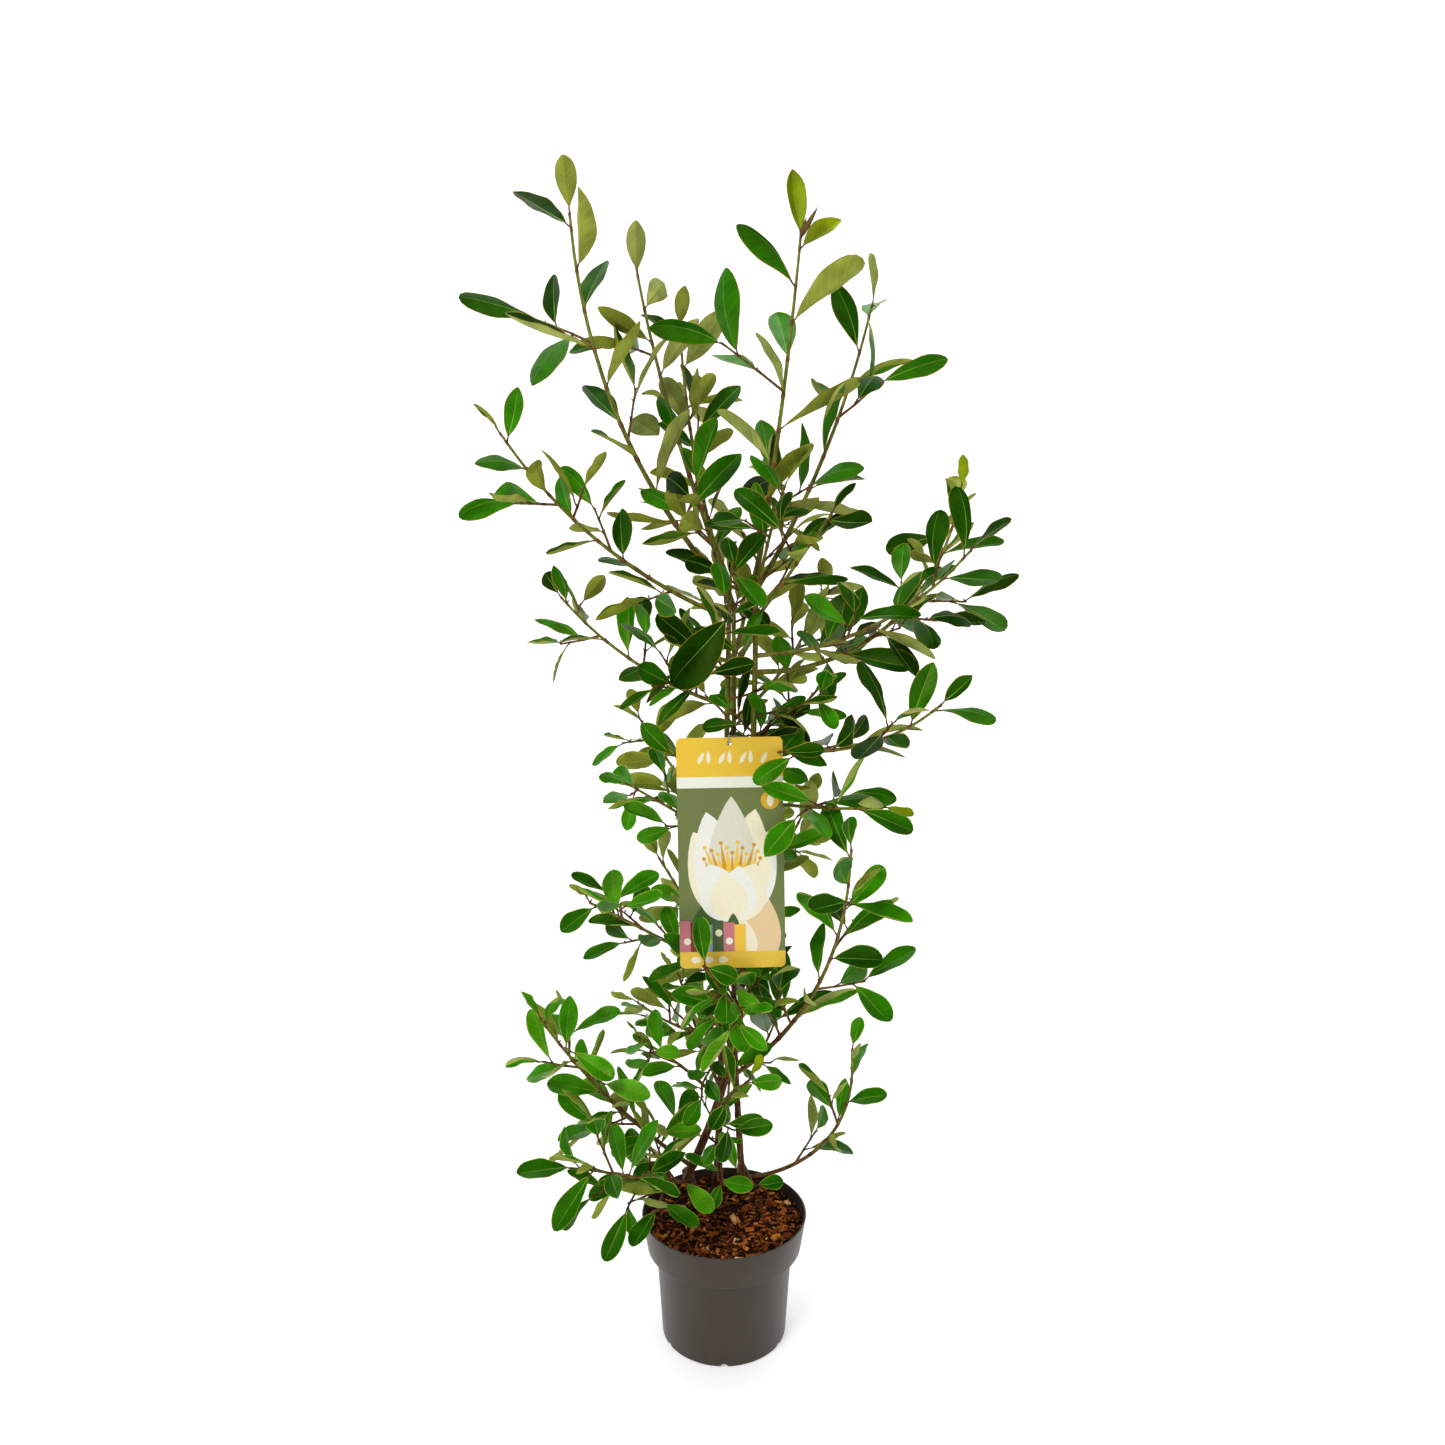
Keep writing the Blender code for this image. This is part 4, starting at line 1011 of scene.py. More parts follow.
def make_stems(paths, materials):
    batch = Batch()
    for number, stem in enumerate(STEMS):
        points = paths[stem.name]
        if stem.name == "trunk":
            points = points[:-1] + [points[-1] + (points[-1] - points[-2]).normalized() * TRUNK_OVERLAP]
        line = smooth_path(points, STEM_STEP)
        travelled = travelled_along(line)
        rng = draws("stems", number)
        radii = np.array([stem_radius(stem, travelled[-1], way, point[2]) for way, point in zip(travelled, line)])
        radii = radii[:, None] * (1 + bark_relief(line, STEM_SIDES, *STEM_BARK, number * 3.7))
        knots = [rng.uniform(0, travelled[-1]) for _ in range(round(travelled[-1] / KNOT_SPACING))]
        corners, faces = sweep(line, swell(radii, travelled, knots, KNOT_SWELL, KNOT_REACH), STEM_SIDES)
        levels = [wood_level(point[2]) for point in line]
        batch.add(corners, faces, ring_shades(line, levels, STEM_SIDES, knots, number * 5.1))
    finish_piece(batch.build("bark_of_stems", materials), "bark", *[stem.name for stem in STEMS])


def make_boughs(sprays, materials):
    batch = Batch()
    nodes = []
    for spray in sprays:
        if not spray.path:
            continue
        shoot = spray.shoot
        line = smooth_path(spray.path, BOUGH_STEP)
        travelled = travelled_along(line)
        radii = np.array([shoot_radius(shoot, min(1, way / shoot.length)) * BARK_SWELL for way in travelled])
        radii = radii[:, None] * (1 + bark_relief(line, BOUGH_SIDES, *BOUGH_BARK, shoot.seed * 1.9))
        bases = []
        for leaf in spray.leaves:
            distances = np.linalg.norm(line - np.array(leaf.base), axis=1)
            if distances.min() < ON_LIMB:
                bases.append(travelled[distances.argmin()])
        corners, faces = sweep(line, swell(radii, travelled, bases, SCAR_SWELL, SCAR_REACH), BOUGH_SIDES)
        foot = wood_level(spray.path[0].z) * 0.75 + 0.6
        levels = foot + (5.4 - foot) * np.clip(travelled / travelled[-1], 0, 1) ** 0.8
        batch.add(corners, faces, ring_shades(line, levels, BOUGH_SIDES, bases, shoot.seed * 2.3))
        if shoot.bare:
            nodes.append("bough_" + shoot.name)
    finish_piece(batch.build("bark_of_boughs", materials), "bark", *nodes)


def make_twigs(sprays, materials):
    """The side twigs of every spray, each slightly bowed."""
    batch = Batch()
    for spray in sprays:
        rng = draws("bows", spray.shoot.seed)
        for twig in spray.twigs:
            bow = twig.along.orthogonal().normalized() * twig.length * rng.uniform(-0.03, 0.03)
            tip = twig.foot + twig.along * twig.length
            line = smooth_path([twig.foot, (twig.foot + tip) / 2 + bow, tip], TWIG_STEP)
            share = travelled_along(line) / travelled_along(line)[-1]
            radii = TWIG_FOOT_RADIUS + share * (TWIG_TIP_RADIUS - TWIG_FOOT_RADIUS)
            for site in TWIG_LEAF_SITES:
                radii = radii * (1 + 0.25 * np.exp(-((share - site) * twig.length / 0.0018) ** 2))
            corners, faces = sweep(line, radii, FINE_SIDES)
            nodes = [site * twig.length for site in TWIG_LEAF_SITES]
            levels = 2.0 + 1.6 * share
            batch.add(corners, faces, ring_shades(line, levels, FINE_SIDES, nodes, spray.shoot.seed))
    finish_piece(batch.build("leafy_twigs", materials), "bark")


def make_petioles(sprays, material, bud_material):
    """Leaf stalks, with a small bud where each meets its limb."""
    stalks, buds = Batch(), Batch()
    radii = [PETIOLE_RADIUS * width for width in STALK_WIDTHS]
    steps = len(STALK_WIDTHS) - 1
    for spray in sprays:
        rng = draws("stalks", spray.shoot.seed)
        for leaf in spray.leaves:
            end = 1.6 * PETIOLE_LENGTH / leaf.length
            line = [tuple(blade_point(leaf, end * step / steps, 0, -0.0004 * step / steps))
                    for step in range(steps + 1)]
            stalks.add(*sweep(np.array(line), radii, FINE_SIDES), 0)
            if rng.random() < BUD_CHANCE:
                foot = leaf.base + leaf.along * 0.0016 + leaf.up * 0.0008
                way = (leaf.along * 0.4 + leaf.up).normalized()
                add_bud(buds, foot, way, rng.uniform(*BUD_LENGTHS), BUD_RADIUS)
        if spray.shoot.name == "top_leader":
            for way, length, radius in LEADER_BUDS:
                add_bud(buds, spray.path[-1], Vector(way).normalized(), length, radius)
    finish_piece(stalks.build("leaf_stalks", [material]), "bark")
    finish_piece(buds.build("buds", [bud_material]), "bark")


def add_bud(batch, foot, way, length, radius):
    """A small pointed bud."""
    line = np.array([tuple(foot + way * (length * share)) for share, _ in BUD_PROFILE])
    batch.add(*sweep(line, [radius * width for _, width in BUD_PROFILE], FINE_SIDES), 0)


def make_leaves(sprays, materials, first):
    """All the blades, joined into one piece for each level of the crown."""
    ceiling = math.inf
    for level in LEVELS:
        batch = Batch()
        nodes = []
        for spray in sprays:
            shoot = spray.shoot
            if not level.floor <= shoot.height < ceiling:
                continue
            rng = draws("blades", shoot.seed)
            dark = shoot.name in DARK_SPRAYS
            # The level's shade is partly painted shade: it darkens the tops high in the crown.
            shade = DARK_SHADE if dark else level.shade + rng.uniform(-SHADE_SPREAD, SHADE_SPREAD)
            young = 0 if shoot.name in OLD_SPRAYS else level.young
            for leaf in spray.leaves:
                turned = turns_back(leaf, shoot.name in FRONT_SPRAYS, level.turned, rng)
                slim = leaf._replace(width=leaf.width * level.narrowing)
                corners, uvs = blade_corners(slim, turned, 0 if dark else level.pointed, rng)
                slots = leaf_slots(leaf, turned, shade, young, level.margin, first, rng)
                batch.add(corners, BLADE_FACES, slots, uvs)
            if spray.path:
                nodes.append("leaves_" + shoot.name)
        finish_piece(batch.build("leaves_of_" + level.name, materials), "leaf_green", *nodes)
        ceiling = level.floor


# Growth beyond the solids: finer twigs and leaves that fill each spray, within the same reach
class Crowd:
    """Points of all the leaves so far, so that a further leaf is only set where there is room."""

    def __init__(self):
        self.points = np.zeros((0, 3))
        self.tag_place = tag_frame().inverted()
        self.low, self.high = np.array(CAD_BOX[0]) + BOX_MARGIN, np.array(CAD_BOX[1]) - BOX_MARGIN

    @staticmethod
    def samples(leaf):
        half = leaf.width / 2
        places = ((0.3, 0), (0.55, 0), (0.8, 0), (1, 0), (0.5, 0.7 * half), (0.5, -0.7 * half))
        return np.array([tuple(blade_point(leaf, share, across, 0)) for share, across in places])

    def add(self, leaves):
        self.points = np.concatenate([self.points] + [self.samples(leaf) for leaf in leaves])

    def blocked(self, point):
        """Whether a point is in the mix, on the pot's rim or in the tag."""
        if point[2] < MIX_TOP + RIM_CLEAR:
            return True
        if point[2] < POT_HEIGHT + RIM_CLEAR and math.hypot(point[0], point[1]) > CHIP_FIELD - RIM_CLEAR:
            return True
        x, y, z = self.tag_place @ Vector(point)
        return abs(x) < TAG_WIDTH / 2 + TAG_CLEAR and -TAG_HEIGHT - TAG_CLEAR < z < TAG_CLEAR and y < TAG_CLEAR

    def has_room(self, leaf, room):
        points = self.samples(leaf)
        if (points < self.low).any() or (points > self.high).any() or any(self.blocked(point) for point in points):
            return False
        gaps = np.linalg.norm(self.points[:, None, :] - points[None, :, :], axis=2)
        return gaps.min() > room


def fill_twigs(path, count, size, lengths, crowd, rng):
    """Small twigs along a path, each with leaves of its own where there is room for two or more."""
    twigs, leaves = [], []
    reach = path_length(path)
    for _ in range(count):
        for _ in range(FILL_TRIES):
            foot, axis = along_path(path, reach * rng.uniform(0.08, 0.96))
            side = site_side(axis, rng.uniform(0, math.tau))
            along = lean(axis, side, math.radians(rng.uniform(*FILL_SPREAD)))
            twig = Twig(foot, along, size * rng.uniform(*lengths))
            found = []
            turn = rng.uniform(0, math.tau)
            for share in TWIG_LEAF_SITES:
                base = foot + along * (twig.length * share)
                tip = share == TWIG_LEAF_SITES[0]
                angle = math.radians(TWIG_TIP_SPREAD if tip else FILL_LEAF_SPREAD)
                leaf = new_leaf(base, along, turn, angle, size * rng.uniform(0.78, 1.0), rng, tip)
                turn += GOLDEN_TURN
                if crowd.has_room(leaf, FILL_ROOM):
                    found.append(leaf)
            if len(found) > 1:
                twigs.append(twig)
                leaves += found
                crowd.add(found)
                break
    return twigs, leaves


def between(points, low, high):
    """The part of a rising path between two heights."""
    inner = [point for point in points if low < point.z < high]
    return [point_at_height(points, low)] + inner + [point_at_height(points, high)]


def single_leaf(feature):
    """A leaf from its foot, tip and the way that its upper side faces."""
    base = Vector(feature.base)
    chord = Vector(feature.tip) - base
    along = chord.normalized()
    bend = math.radians(feature.bend)
    length = chord.length * (bend / 2) / math.sin(bend / 2)
    return bent_leaf(base, along, square_to(Vector(feature.face), along), length, feature.width, bend)


def nearest_on(path, point):
    """The point of a path that is nearest to a point."""
    best = None
    for start, end in zip(path, path[1:]):
        way = end - start
        share = clamp((point - start).dot(way) / way.length_squared, 0, 1)
        place = start + way * share
        if best is None or (place - point).length < (best - point).length:
            best = place
    return best


def make_spray(name, height, seed, twigs, leaves):
    """A spray without a limb of its own."""
    return Spray(Shoot(name, "", height, 0, 0, 0, 0, 0, 0, 0, 0, 0, seed), None, twigs, leaves)


def grow_plant():
    """Repeats the solids' growth, then fills it with finer twigs, spurs on the stems and single leaves."""
    paths = {}
    for stem in STEMS:
        paths[stem.name] = stem_path(stem, paths)
    sprays = []
    crowd = Crowd()
    for shoot in SHOOTS:
        foot = point_at_height(paths[shoot.parent], shoot.height)
        whole = course(foot, Arc(shoot.heading, shoot.swing, shoot.rise, shoot.lift, shoot.length))
        leafy = path_beyond(whole, shoot.bare * shoot.length or SEAT_STUB)
        if shoot.bare:
            leafy[0] = leafy[0] + (leafy[1] - leafy[0]).normalized() * GAP
        tree = corner_tree("leaves_" + shoot.name)
        twigs = grow_twigs(shoot, leafy, tree, draws("twigs", shoot.seed))
        leaves = grow_leaves(shoot, leafy, twigs, tree, draws("leaves", shoot.seed))
        larger = LARGER_LEAVES.get(shoot.name, 1)
        leaves = [leaf._replace(length=leaf.length * larger, width=leaf.width * larger) for leaf in leaves]
        crowd.add(leaves)
        paths[shoot.name] = whole
        sprays.append(Spray(shoot, whole, twigs, leaves))
    for number, feature in enumerate(FEATURES):
        leaf = single_leaf(feature)
        foot = nearest_on(paths[feature.parent], leaf.base)
        twig = Twig(foot, (leaf.base - foot).normalized(), (leaf.base - foot).length + 0.001)
        crowd.add([leaf])
        sprays.append(make_spray(feature.name, leaf.base.z, FIRST_FEATURE_SEED + number, [twig], [leaf]))
    for number, spur in enumerate(SPURS):
        path = between(paths[spur.stem], spur.low, spur.high)
        twigs, leaves = fill_twigs(path, spur.count, spur.leaf, SPUR_LENGTHS, crowd, draws("spurs", number))
        height = (spur.low + spur.high) / 2
        sprays.append(make_spray(f"spur_{number + 1}", height, FIRST_SPUR_SEED + number, twigs, leaves))
    for spray in sprays[:len(SHOOTS)]:
        shoot = spray.shoot
        size = shoot.leaf * (LARGE_FILL_LEAF if shoot.name in LARGE_FILL else FILL_LEAF)
        twigs, leaves = fill_twigs(spray.path, FILL.get(shoot.name, 0), size, FILL_LENGTHS, crowd,
                                   draws("fill", shoot.seed))
        spray.twigs.extend(twigs)
        spray.leaves.extend(leaves)
    return paths, sprays


def make_plant():
    paths, sprays = grow_plant()
    bark = bark_materials()
    make_stems(paths, bark)
    make_boughs(sprays, bark)
    make_twigs(sprays, bark)
    stalk = mottled("leaf_stalk", seen(PETIOLE_COLOUR), (0.7, 1.5), 300, 0.55, 0.3)
    bud = new_material("bud_scale", seen(BUD_COLOUR), 0.6, 0.3)
    mottle(bud, seen(BUD_DARK), seen(BUD_LIGHT), 400, bump=0.4)
    make_petioles(sprays, stalk, bud)
    make_leaves(sprays, *leaf_materials())
    return paths


# Pot
def rounded_corner(before, corner, after, radius, steps=5):
    """Points that round a corner of a profile."""
    before, corner, after = Vector(before), Vector(corner), Vector(after)
    start = corner + (before - corner).normalized() * radius
    end = corner + (after - corner).normalized() * radius
    points = []
    for step in range(steps + 1):
        t = step / steps
        points.append(tuple(start * (1 - t) ** 2 + corner * 2 * t * (1 - t) + end * t ** 2))
    return points


def make_pot():
    wall = POT_WALL
    corners = [
        ((0, POT_FLOOR), 0),
        ((BODY_FOOT_RADIUS - wall, POT_FLOOR), 0.0020),
        ((SHOULDER_RADIUS - wall, COLLAR_FOOT_Z + wall), 0.0010),
        ((COLLAR_FOOT_RADIUS - wall, COLLAR_FOOT_Z + wall), 0.0010),
        ((RIM_RADIUS - wall, POT_HEIGHT), LIP_ROUND),
        ((RIM_RADIUS, POT_HEIGHT), LIP_ROUND),
        ((COLLAR_FOOT_RADIUS, COLLAR_FOOT_Z), 0.0009),
        ((SHOULDER_RADIUS, COLLAR_FOOT_Z), 0.0010),
        ((BODY_FOOT_RADIUS, 0), BASE_ROUND),
        ((0, 0), 0),
    ]
    profile = []
    for index, (corner, radius) in enumerate(corners):
        if radius:
            profile += rounded_corner(corners[index - 1][0], corner, corners[index + 1][0], radius)
        else:
            profile.append(corner)
    mesh = bpy.data.meshes.new("pot_shell")
    mesh.from_pydata([(x, 0, z) for x, z in profile], [(n, n + 1) for n in range(len(profile) - 1)], [])
    pot = add_object("nursery_pot", mesh)
    screw = pot.modifiers.new("turn", 'SCREW')
    screw.steps = screw.render_steps = POT_STEPS
    screw.use_merge_vertices = True
    screw.merge_threshold = 0.00002
    screw.use_smooth_shade = True
    bm = bmesh.new()
    bmesh.ops.create_cone(bm, cap_ends=True, segments=DRAIN_SIDES, radius1=DRAIN_RADIUS, radius2=DRAIN_RADIUS,
                          depth=DRAIN_REACH)
    drain = bpy.data.meshes.new("drain")
    bm.to_mesh(drain)
    bm.free()
    cutters = []
    for index in range(DRAIN_SLOTS):
        turn = math.tau * (index + 0.5) / DRAIN_SLOTS
        cutter = add_object(f"drain_{index}", drain)
        cutter.rotation_euler = (math.pi / 2, 0, turn + math.pi / 2)
        cutter.location = (BODY_FOOT_RADIUS * math.cos(turn), BODY_FOOT_RADIUS * math.sin(turn), 0)
        cut = pot.modifiers.new("cut", 'BOOLEAN')
        cut.object = cutter
        cut.solver = 'EXACT'
        cutters.append(cutter)
    graph = bpy.context.evaluated_depsgraph_get()
    finished = bpy.data.meshes.new_from_object(pot.evaluated_get(graph), depsgraph=graph)
    pot.modifiers.clear()
    pot.data = finished
    for cutter in cutters:
        bpy.data.objects.remove(cutter, do_unlink=True)
    finished.shade_smooth()
    finished.set_sharp_from_angle(angle=math.radians(35))
    finished.materials.clear()
    finished.materials.append(mottled("pot_plastic_satin", seen(POT_COLOUR), (0.92, 1.08), 60, 0.38, 0.36, bump=0.14,
                                      bump_scale=1500, dullness=(0.34, 0.48), stretch=(1, 1, 0.6)))
    finish_piece(pot, "pot_plastic", "pot")


# Bark chips
CHIP_SHADES = ((68, 28, 6), (98, 46, 12), (128, 64, 20), (154, 84, 30), (178, 108, 46), (204, 156, 100), (36, 16, 5))
CHIP_WEIGHTS = (5, 7, 7, 5, 3, 1, 4)
# Large chips, then small ones: how many, their lengths, and their width as a share of it
CHIP_KINDS = ((380, (0.006, 0.013), 0.36), (860, (0.0028, 0.006), 0.52))
MIX_RINGS = 26
MIX_SIDES = 96


def chip(rng, length, width, thickness):
    """Corners and faces of a broken chip: a hull of a few points in a flat box."""
    bm = bmesh.new()
    for _ in range(12):
        point = Vector([rng.choice((-1, 1)) * rng.uniform(0.45, 1) for _ in range(3)])
        bm.verts.new((point.x * length / 2, point.y * width / 2, point.z * thickness / 2))
    hull = bmesh.ops.convex_hull(bm, input=bm.verts)
    loose = [item for item in hull["geom_interior"] if isinstance(item, bmesh.types.BMVert)]
    bmesh.ops.delete(bm, geom=loose, context='VERTS')
    return bmesh_parts(bm)


def mix_height(radius):
    """The chips' surface: nearly flat, a little lower at the pot's wall."""
    return MIX_TOP + CHIP_RISE - CHIP_CROWN * (radius / CHIP_FIELD) ** 4


def make_mix():
    rng = draws("chips")
    batch = Batch()
    rings, sides = MIX_RINGS, MIX_SIDES
    corners, faces = [(0, 0, mix_height(0) - 0.002)], []
    for ring in range(1, rings + 1):
        radius = CHIP_FIELD * ring / rings
        for side in range(sides):
            turn = math.tau * side / sides
            x, y = radius * math.cos(turn), radius * math.sin(turn)
            rough = 0.0024 * noise.noise(Vector((x, y, 0)) * 190) + 0.0012 * noise.noise(Vector((x, y, 1)) * 520)
            corners.append((x, y, mix_height(radius) - 0.003 + rough))
    for side in range(sides):
        following = (side + 1) % sides
        faces.append((0, 1 + side, 1 + following))
        for ring in range(rings - 1):
            inner, outer = 1 + ring * sides, 1 + (ring + 1) * sides
            faces.append((inner + side, outer + side, outer + following, inner + following))
    dark = len(CHIP_SHADES) - 1
    batch.add(corners, faces, dark)
    sizes = [(rng.uniform(*lengths), breadth) for count, lengths, breadth in CHIP_KINDS for _ in range(count)]
    for length, breadth in sizes:
        radius = (CHIP_FIELD - length * 0.42) * math.sqrt(rng.random())
        turn = rng.uniform(0, math.tau)
        width = length * rng.uniform(breadth - 0.14, breadth + 0.22)
        thickness = width * rng.uniform(0.22, 0.6)
        points, hull = chip(rng, length, width, thickness)
        tilt = Matrix.Rotation(rng.uniform(0, math.tau), 3, 'Z') @ Matrix.Rotation(rng.gauss(0, 0.42), 3, 'X')
        tilt = tilt @ Matrix.Rotation(rng.gauss(0, 0.30), 3, 'Y')
        rise = mix_height(radius) - 0.0014 + rng.uniform(-0.0016, 0.0022)
        place = np.array((radius * math.cos(turn), radius * math.sin(turn), rise))
        shade = rng.choices(range(len(CHIP_SHADES)), CHIP_WEIGHTS)[0]
        batch.add(points @ np.array(tilt).T + place, hull, shade)
    materials = [mottled(f"bark_chip_{index + 1}", seen(shade), (0.55, 1.5), 330, 0.82, 0.1, bump=0.7, bump_scale=900,
                         stretch=(1, 0.4, 1)) for index, shade in enumerate(CHIP_SHADES)]
    finish_piece(batch.build("bark_chips", materials, smooth=False), "bark_mix", "potting_mix")


# Hang tag
def tag_frame():
    """The tag's own frame: origin at the middle of its top edge, X across it, Z up it."""
    return Matrix.Translation(TAG_TOP) @ Matrix.Rotation(TAG_TURN, 4, 'Y') @ Matrix.Rotation(TAG_TILT, 4, 'X')


def ring_points(centre, radius, steps):
    turns = [math.tau * step / steps for step in range(steps)]
    return [(centre[0] + radius * math.cos(turn), centre[1] + radius * math.sin(turn)) for turn in turns]


def rounded_panel(left, right, bottom, top, radii):
    """The outline of a panel; radii are for its upper right, upper left, lower left and lower right corner."""
    places = ((right, top, -1, -1), (left, top, 1, -1), (left, bottom, 1, 1), (right, bottom, -1, 1))
    outline = []
    for corner, ((x, y, inward, upward), radius) in enumerate(zip(places, radii)):
        middle = (x + inward * radius, y + upward * radius)
        for step in range(PANEL_STEPS + 1 if radius else 1):
            turn = math.pi / 2 * (corner + step / PANEL_STEPS)
            outline.append((middle[0] + radius * math.cos(turn), middle[1] + radius * math.sin(turn)))
    return outline


def plate(rings, layer, thickness):
    """A flat shape in the tag's plane: an outline, with holes as further rings; layer counts forwards."""
    curve = bpy.data.curves.new("outline", 'CURVE')
    curve.dimensions = '2D'
    curve.fill_mode = 'BOTH'
    curve.extrude = thickness / 2
    for ring in rings:
        spline = curve.splines.new('POLY')
        spline.points.add(len(ring) - 1)
        for knot, point in zip(spline.points, ring):
            knot.co = (*point, 0, 1)
        spline.use_cyclic_u = True
    source = add_object("outline", curve)
    graph = bpy.context.evaluated_depsgraph_get()
    mesh = bpy.data.meshes.new_from_object(source.evaluated_get(graph), depsgraph=graph)
    bpy.data.objects.remove(source, do_unlink=True)
    bm = bmesh.new()
    bm.from_mesh(mesh)
    bmesh.ops.remove_doubles(bm, verts=bm.verts, dist=0.000004)
    forward = Matrix.Translation((0, -layer * PRINT_STEP, 0))
    bmesh.ops.transform(bm, matrix=tag_frame() @ forward @ Matrix.Rotation(math.pi / 2, 4, 'X'), verts=bm.verts)
    bpy.data.meshes.remove(mesh)
    return bmesh_parts(bm)


def printed(name, colour):
    return mottled("print_" + name, seen(colour, PRINT_LIGHT), (0.97, 1.03), 500, 0.34, 0.4, bump=0.03,
                   bump_scale=2500)


def petal(centre, length, width, heading, steps):
    """A pointed oval that starts at a centre and runs out at a heading in degrees."""
    turn = math.radians(heading)
    outline = []
    for side in (1, -1):
        shares = range(steps + 1) if side > 0 else range(steps - 1, 0, -1)
        for step in shares:
            t = step / steps
            across = side * width / 2 * math.sin(math.pi * t ** 0.8) ** 0.8
            along = length * t
            outline.append((centre[0] + along * math.cos(turn) - across * math.sin(turn),
                            centre[1] + along * math.sin(turn) + across * math.cos(turn)))
    return outline


PRINT_COLOURS = {
    "card": (226, 228, 212), "amber": (224, 185, 54), "amber_deep": (214, 166, 40), "cream": (232, 224, 194),
    "white": (228, 228, 218), "pearl": (212, 210, 190), "yellow": (230, 186, 52), "gold": (204, 146, 28),
    "green": (62, 88, 38), "moss": (104, 116, 62), "sand": (222, 194, 148), "rose": (190, 112, 118),
    "wine": (118, 34, 38), "sky": (124, 158, 190),
}
# Edges of the print's bands, down from the card's top
PRINT_TOP, PRINT_LINE, PRINT_FOOT = -0.0375, -0.0480, -0.2050
# Petals: lean from upright in degrees, length, width and colour
BLOSSOM = ((-23, 0.094, 0.048, "white"), (23, 0.094, 0.048, "cream"), (-12, 0.110, 0.052, "cream"),
           (13, 0.108, 0.052, "white"), (0, 0.120, 0.048, "pearl"))
BLOSSOM_CUP = ((-22, 0.060, 0.044, "cream"), (22, 0.060, 0.044, "white"), (-8, 0.054, 0.040, "white"),
               (10, 0.048, 0.036, "cream"))
STRIPES = ("rose", "wine", "sky", "green", "rose", "yellow")
STRIPE_WIDTH = 0.0105


def make_tag():
    """The card and its generic print: plain bands, an opening bud with a warm heart, and stripes."""
    slot = {name: index for index, name in enumerate(PRINT_COLOURS)}
    batch = Batch()
    half, low = TAG_WIDTH / 2, -TAG_HEIGHT
    heart = (0.001, -0.176)
    hole = ring_points((0, -TAG_HOLE_DROP), TAG_HOLE_RADIUS, 24)
    card = [rounded_panel(-half, half, low, 0, (TAG_CORNER,) * 4), hole]
    batch.add(*plate(card, 0, TAG_THICKNESS), slot["card"])

    def show(name, layer, *rings):
        batch.add(*plate(rings, TAG_THICKNESS / 2 / PRINT_STEP + layer, PRINT_STEP), slot[name])

    def open_out(petals, layer, step):
        for index, (lean, length, width, name) in enumerate(petals):
            show(name, layer + step * index, petal(heart, length, width, 90 + lean, 18))

    show("amber", 1, rounded_panel(-half, half, PRINT_TOP, 0, (TAG_CORNER, TAG_CORNER, 0, 0)), hole)
    show("moss", 1, rounded_panel(-half, half, PRINT_FOOT, PRINT_LINE, (0,) * 4))
    show("green", 1.5, petal((-0.020, low), 0.062, 0.038, 97, 14))
    show("sand", 1.8, petal((0.029, low), 0.076, 0.036, 91, 14))
    show("cream", 2.1, petal((0.012, low), 0.056, 0.032, 100, 14))
    show("amber", 2.4, rounded_panel(-half, half, low, PRINT_FOOT, (0, 0, TAG_CORNER, TAG_CORNER)))
    open_out(BLOSSOM, 3, 0.5)
    for index in range(13):
        heading = 66 + 4 * index
        length = 0.066 + 0.005 * (index % 3)
        tip = (heart[0] + length * math.cos(math.radians(heading)), heart[1] + length * math.sin(math.radians(heading)))
        name = "yellow" if index % 2 else "gold"
        show(name, 5.6 + 0.1 * (index % 2), petal(heart, length, 0.0060, heading, 8))
        show(name, 5.8 + 0.1 * (index % 2), ring_points(tip, 0.0019, 12))
    open_out(BLOSSOM_CUP, 7, 0.4)
    show("green", 8.7, petal((heart[0], heart[1] - 0.012), 0.020, 0.011, 90, 8))
    for index, name in enumerate(STRIPES):
        left = -half + STRIPE_WIDTH * index
        show(name, 9, rounded_panel(left, left + STRIPE_WIDTH, PRINT_FOOT, PRINT_FOOT + 0.030 - 0.002 * (index % 3),
                                    (0,) * 4))
    for index in range(6):
        spot = (-half + 0.0075 + 0.0100 * index, PRINT_FOOT + 0.010 + 0.008 * (index % 2))
        show(("cream", "white", "yellow")[index % 3], 10, ring_points(spot, 0.0034, 16))
    for index in range(3):
        show("cream", 3.4, petal((-0.040 + 0.013 * index, -0.2130), 0.0100, 0.0066, 0, 8))
    for index in range(7):
        show("cream", 2, petal((-0.030 + 0.010 * index, -0.0250), 0.0125, 0.0042, 90 if index % 2 else 62, 6))
    show("amber_deep", 9, ring_points((0.038, -0.060), 0.0090, 28))
    show("cream", 10, petal((0.038, -0.0665), 0.0130, 0.0066, 90, 8))
    materials = [printed(name, colour) for name, colour in PRINT_COLOURS.items()]
    finish_piece(batch.build("hang_tag", materials, smooth=False), "tag_card", "tag")


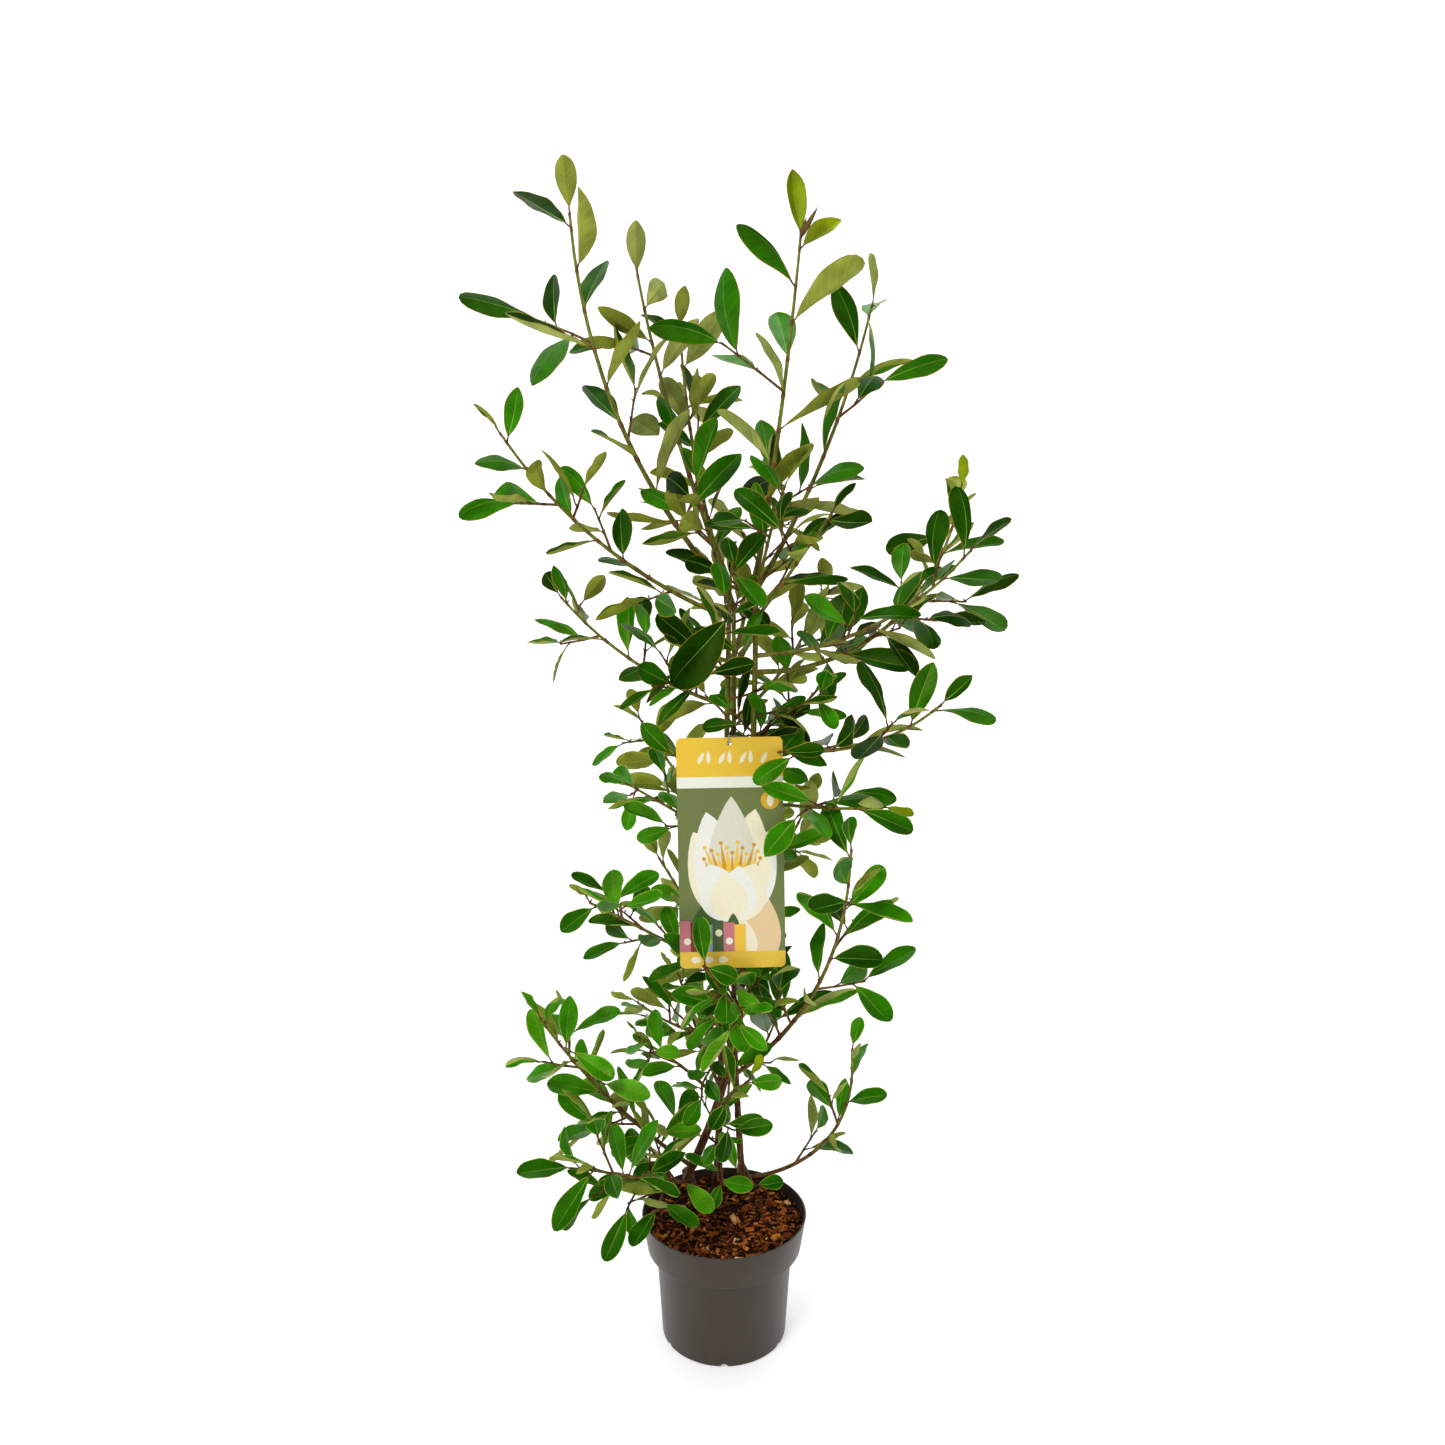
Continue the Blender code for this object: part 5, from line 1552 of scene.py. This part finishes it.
def make_tag_loop(paths):
    """The thin closed loop round the main stem and through the tag's hole."""
    place = tag_frame()
    route = [place @ Vector(point) for point in LOOP_ROUTE]
    stem = point_at_height(paths["stem_main"], route[-1].z)
    away = ((stem - route[-1]) * Vector((1, 1, 0))).normalized()
    across = Vector((0, 0, 1)).cross(away)
    points = []
    for step in range(LOOP_TURN_STEPS + 1):
        turn = math.pi * (step / LOOP_TURN_STEPS - 0.5)
        points.append(stem + (away * math.cos(turn) + across * math.sin(turn)) * LOOP_TURN_RADIUS)
    line = smooth_path(points + route + [points[0]], 0.0012)
    batch = Batch()
    batch.add(*sweep(line, [LOOP_RADIUS] * len(line), LOOP_SIDES), 0)
    material = mottled("loop_strand", seen(LOOP_COLOUR), (0.9, 1.1), 400, 0.4, 0.5, bump=0.1)
    finish_piece(batch.build("tag_strand", [material]), "loop_plastic", "tag_loop")


# Stage
def area_light(name, place, size, power):
    data = bpy.data.lights.new(name, 'AREA')
    data.shape = 'RECTANGLE'
    data.size = data.size_y = size
    data.energy = power
    item = add_object(name, data)
    item.location = place
    item.rotation_euler = (LIGHT_TARGET - Vector(place)).to_track_quat('-Z', 'Y').to_euler()


def stage_sheet(name, corners, glow):
    """A white sheet of the studio that adds a little light of its own."""
    data = bpy.data.meshes.new(name)
    data.from_pydata(corners, [], [(0, 1, 2, 3)])
    sheet = add_object(name, data)
    material = new_material(name + "_white", (0.9, 0.9, 0.9, 1), 0.9, 0.1)
    inputs = material.node_tree.nodes["Principled BSDF"].inputs
    inputs["Emission Color"].default_value = (1, 1, 1, 1)
    inputs["Emission Strength"].default_value = glow
    data.materials.append(material)


def make_stage():
    far, reach = STAGE_DEPTH, STAGE_REACH
    stage_sheet("floor", [(-reach, -reach, 0), (reach, -reach, 0), (reach, far, 0), (-reach, far, 0)], 0.38)
    stage_sheet("backdrop", [(-reach, far, 0), (reach, far, 0), (reach, far, reach), (-reach, far, reach)], 0.52)
    world = bpy.data.worlds.new("studio")
    world.use_nodes = True
    inputs = world.node_tree.nodes["Background"].inputs
    inputs["Color"].default_value = (1, 1, 1, 1)
    inputs["Strength"].default_value = WORLD_LIGHT
    bpy.context.scene.world = world
    for light in LIGHTS:
        area_light(*light)
    bpy.context.scene.view_settings.view_transform = 'Standard'


def make_camera():
    data = bpy.data.cameras.new("camera")
    data.sensor_width = CAMERA_SENSOR
    data.lens = CAMERA_LENS
    camera = add_object("camera", data)
    camera.location = CAMERA_PLACE
    camera.rotation_euler = (CAMERA_TILT, 0, 0)
    bpy.context.scene.camera = camera


make_camera()
make_stage()
make_pot()
make_mix()
make_tag_loop(make_plant())
make_tag()
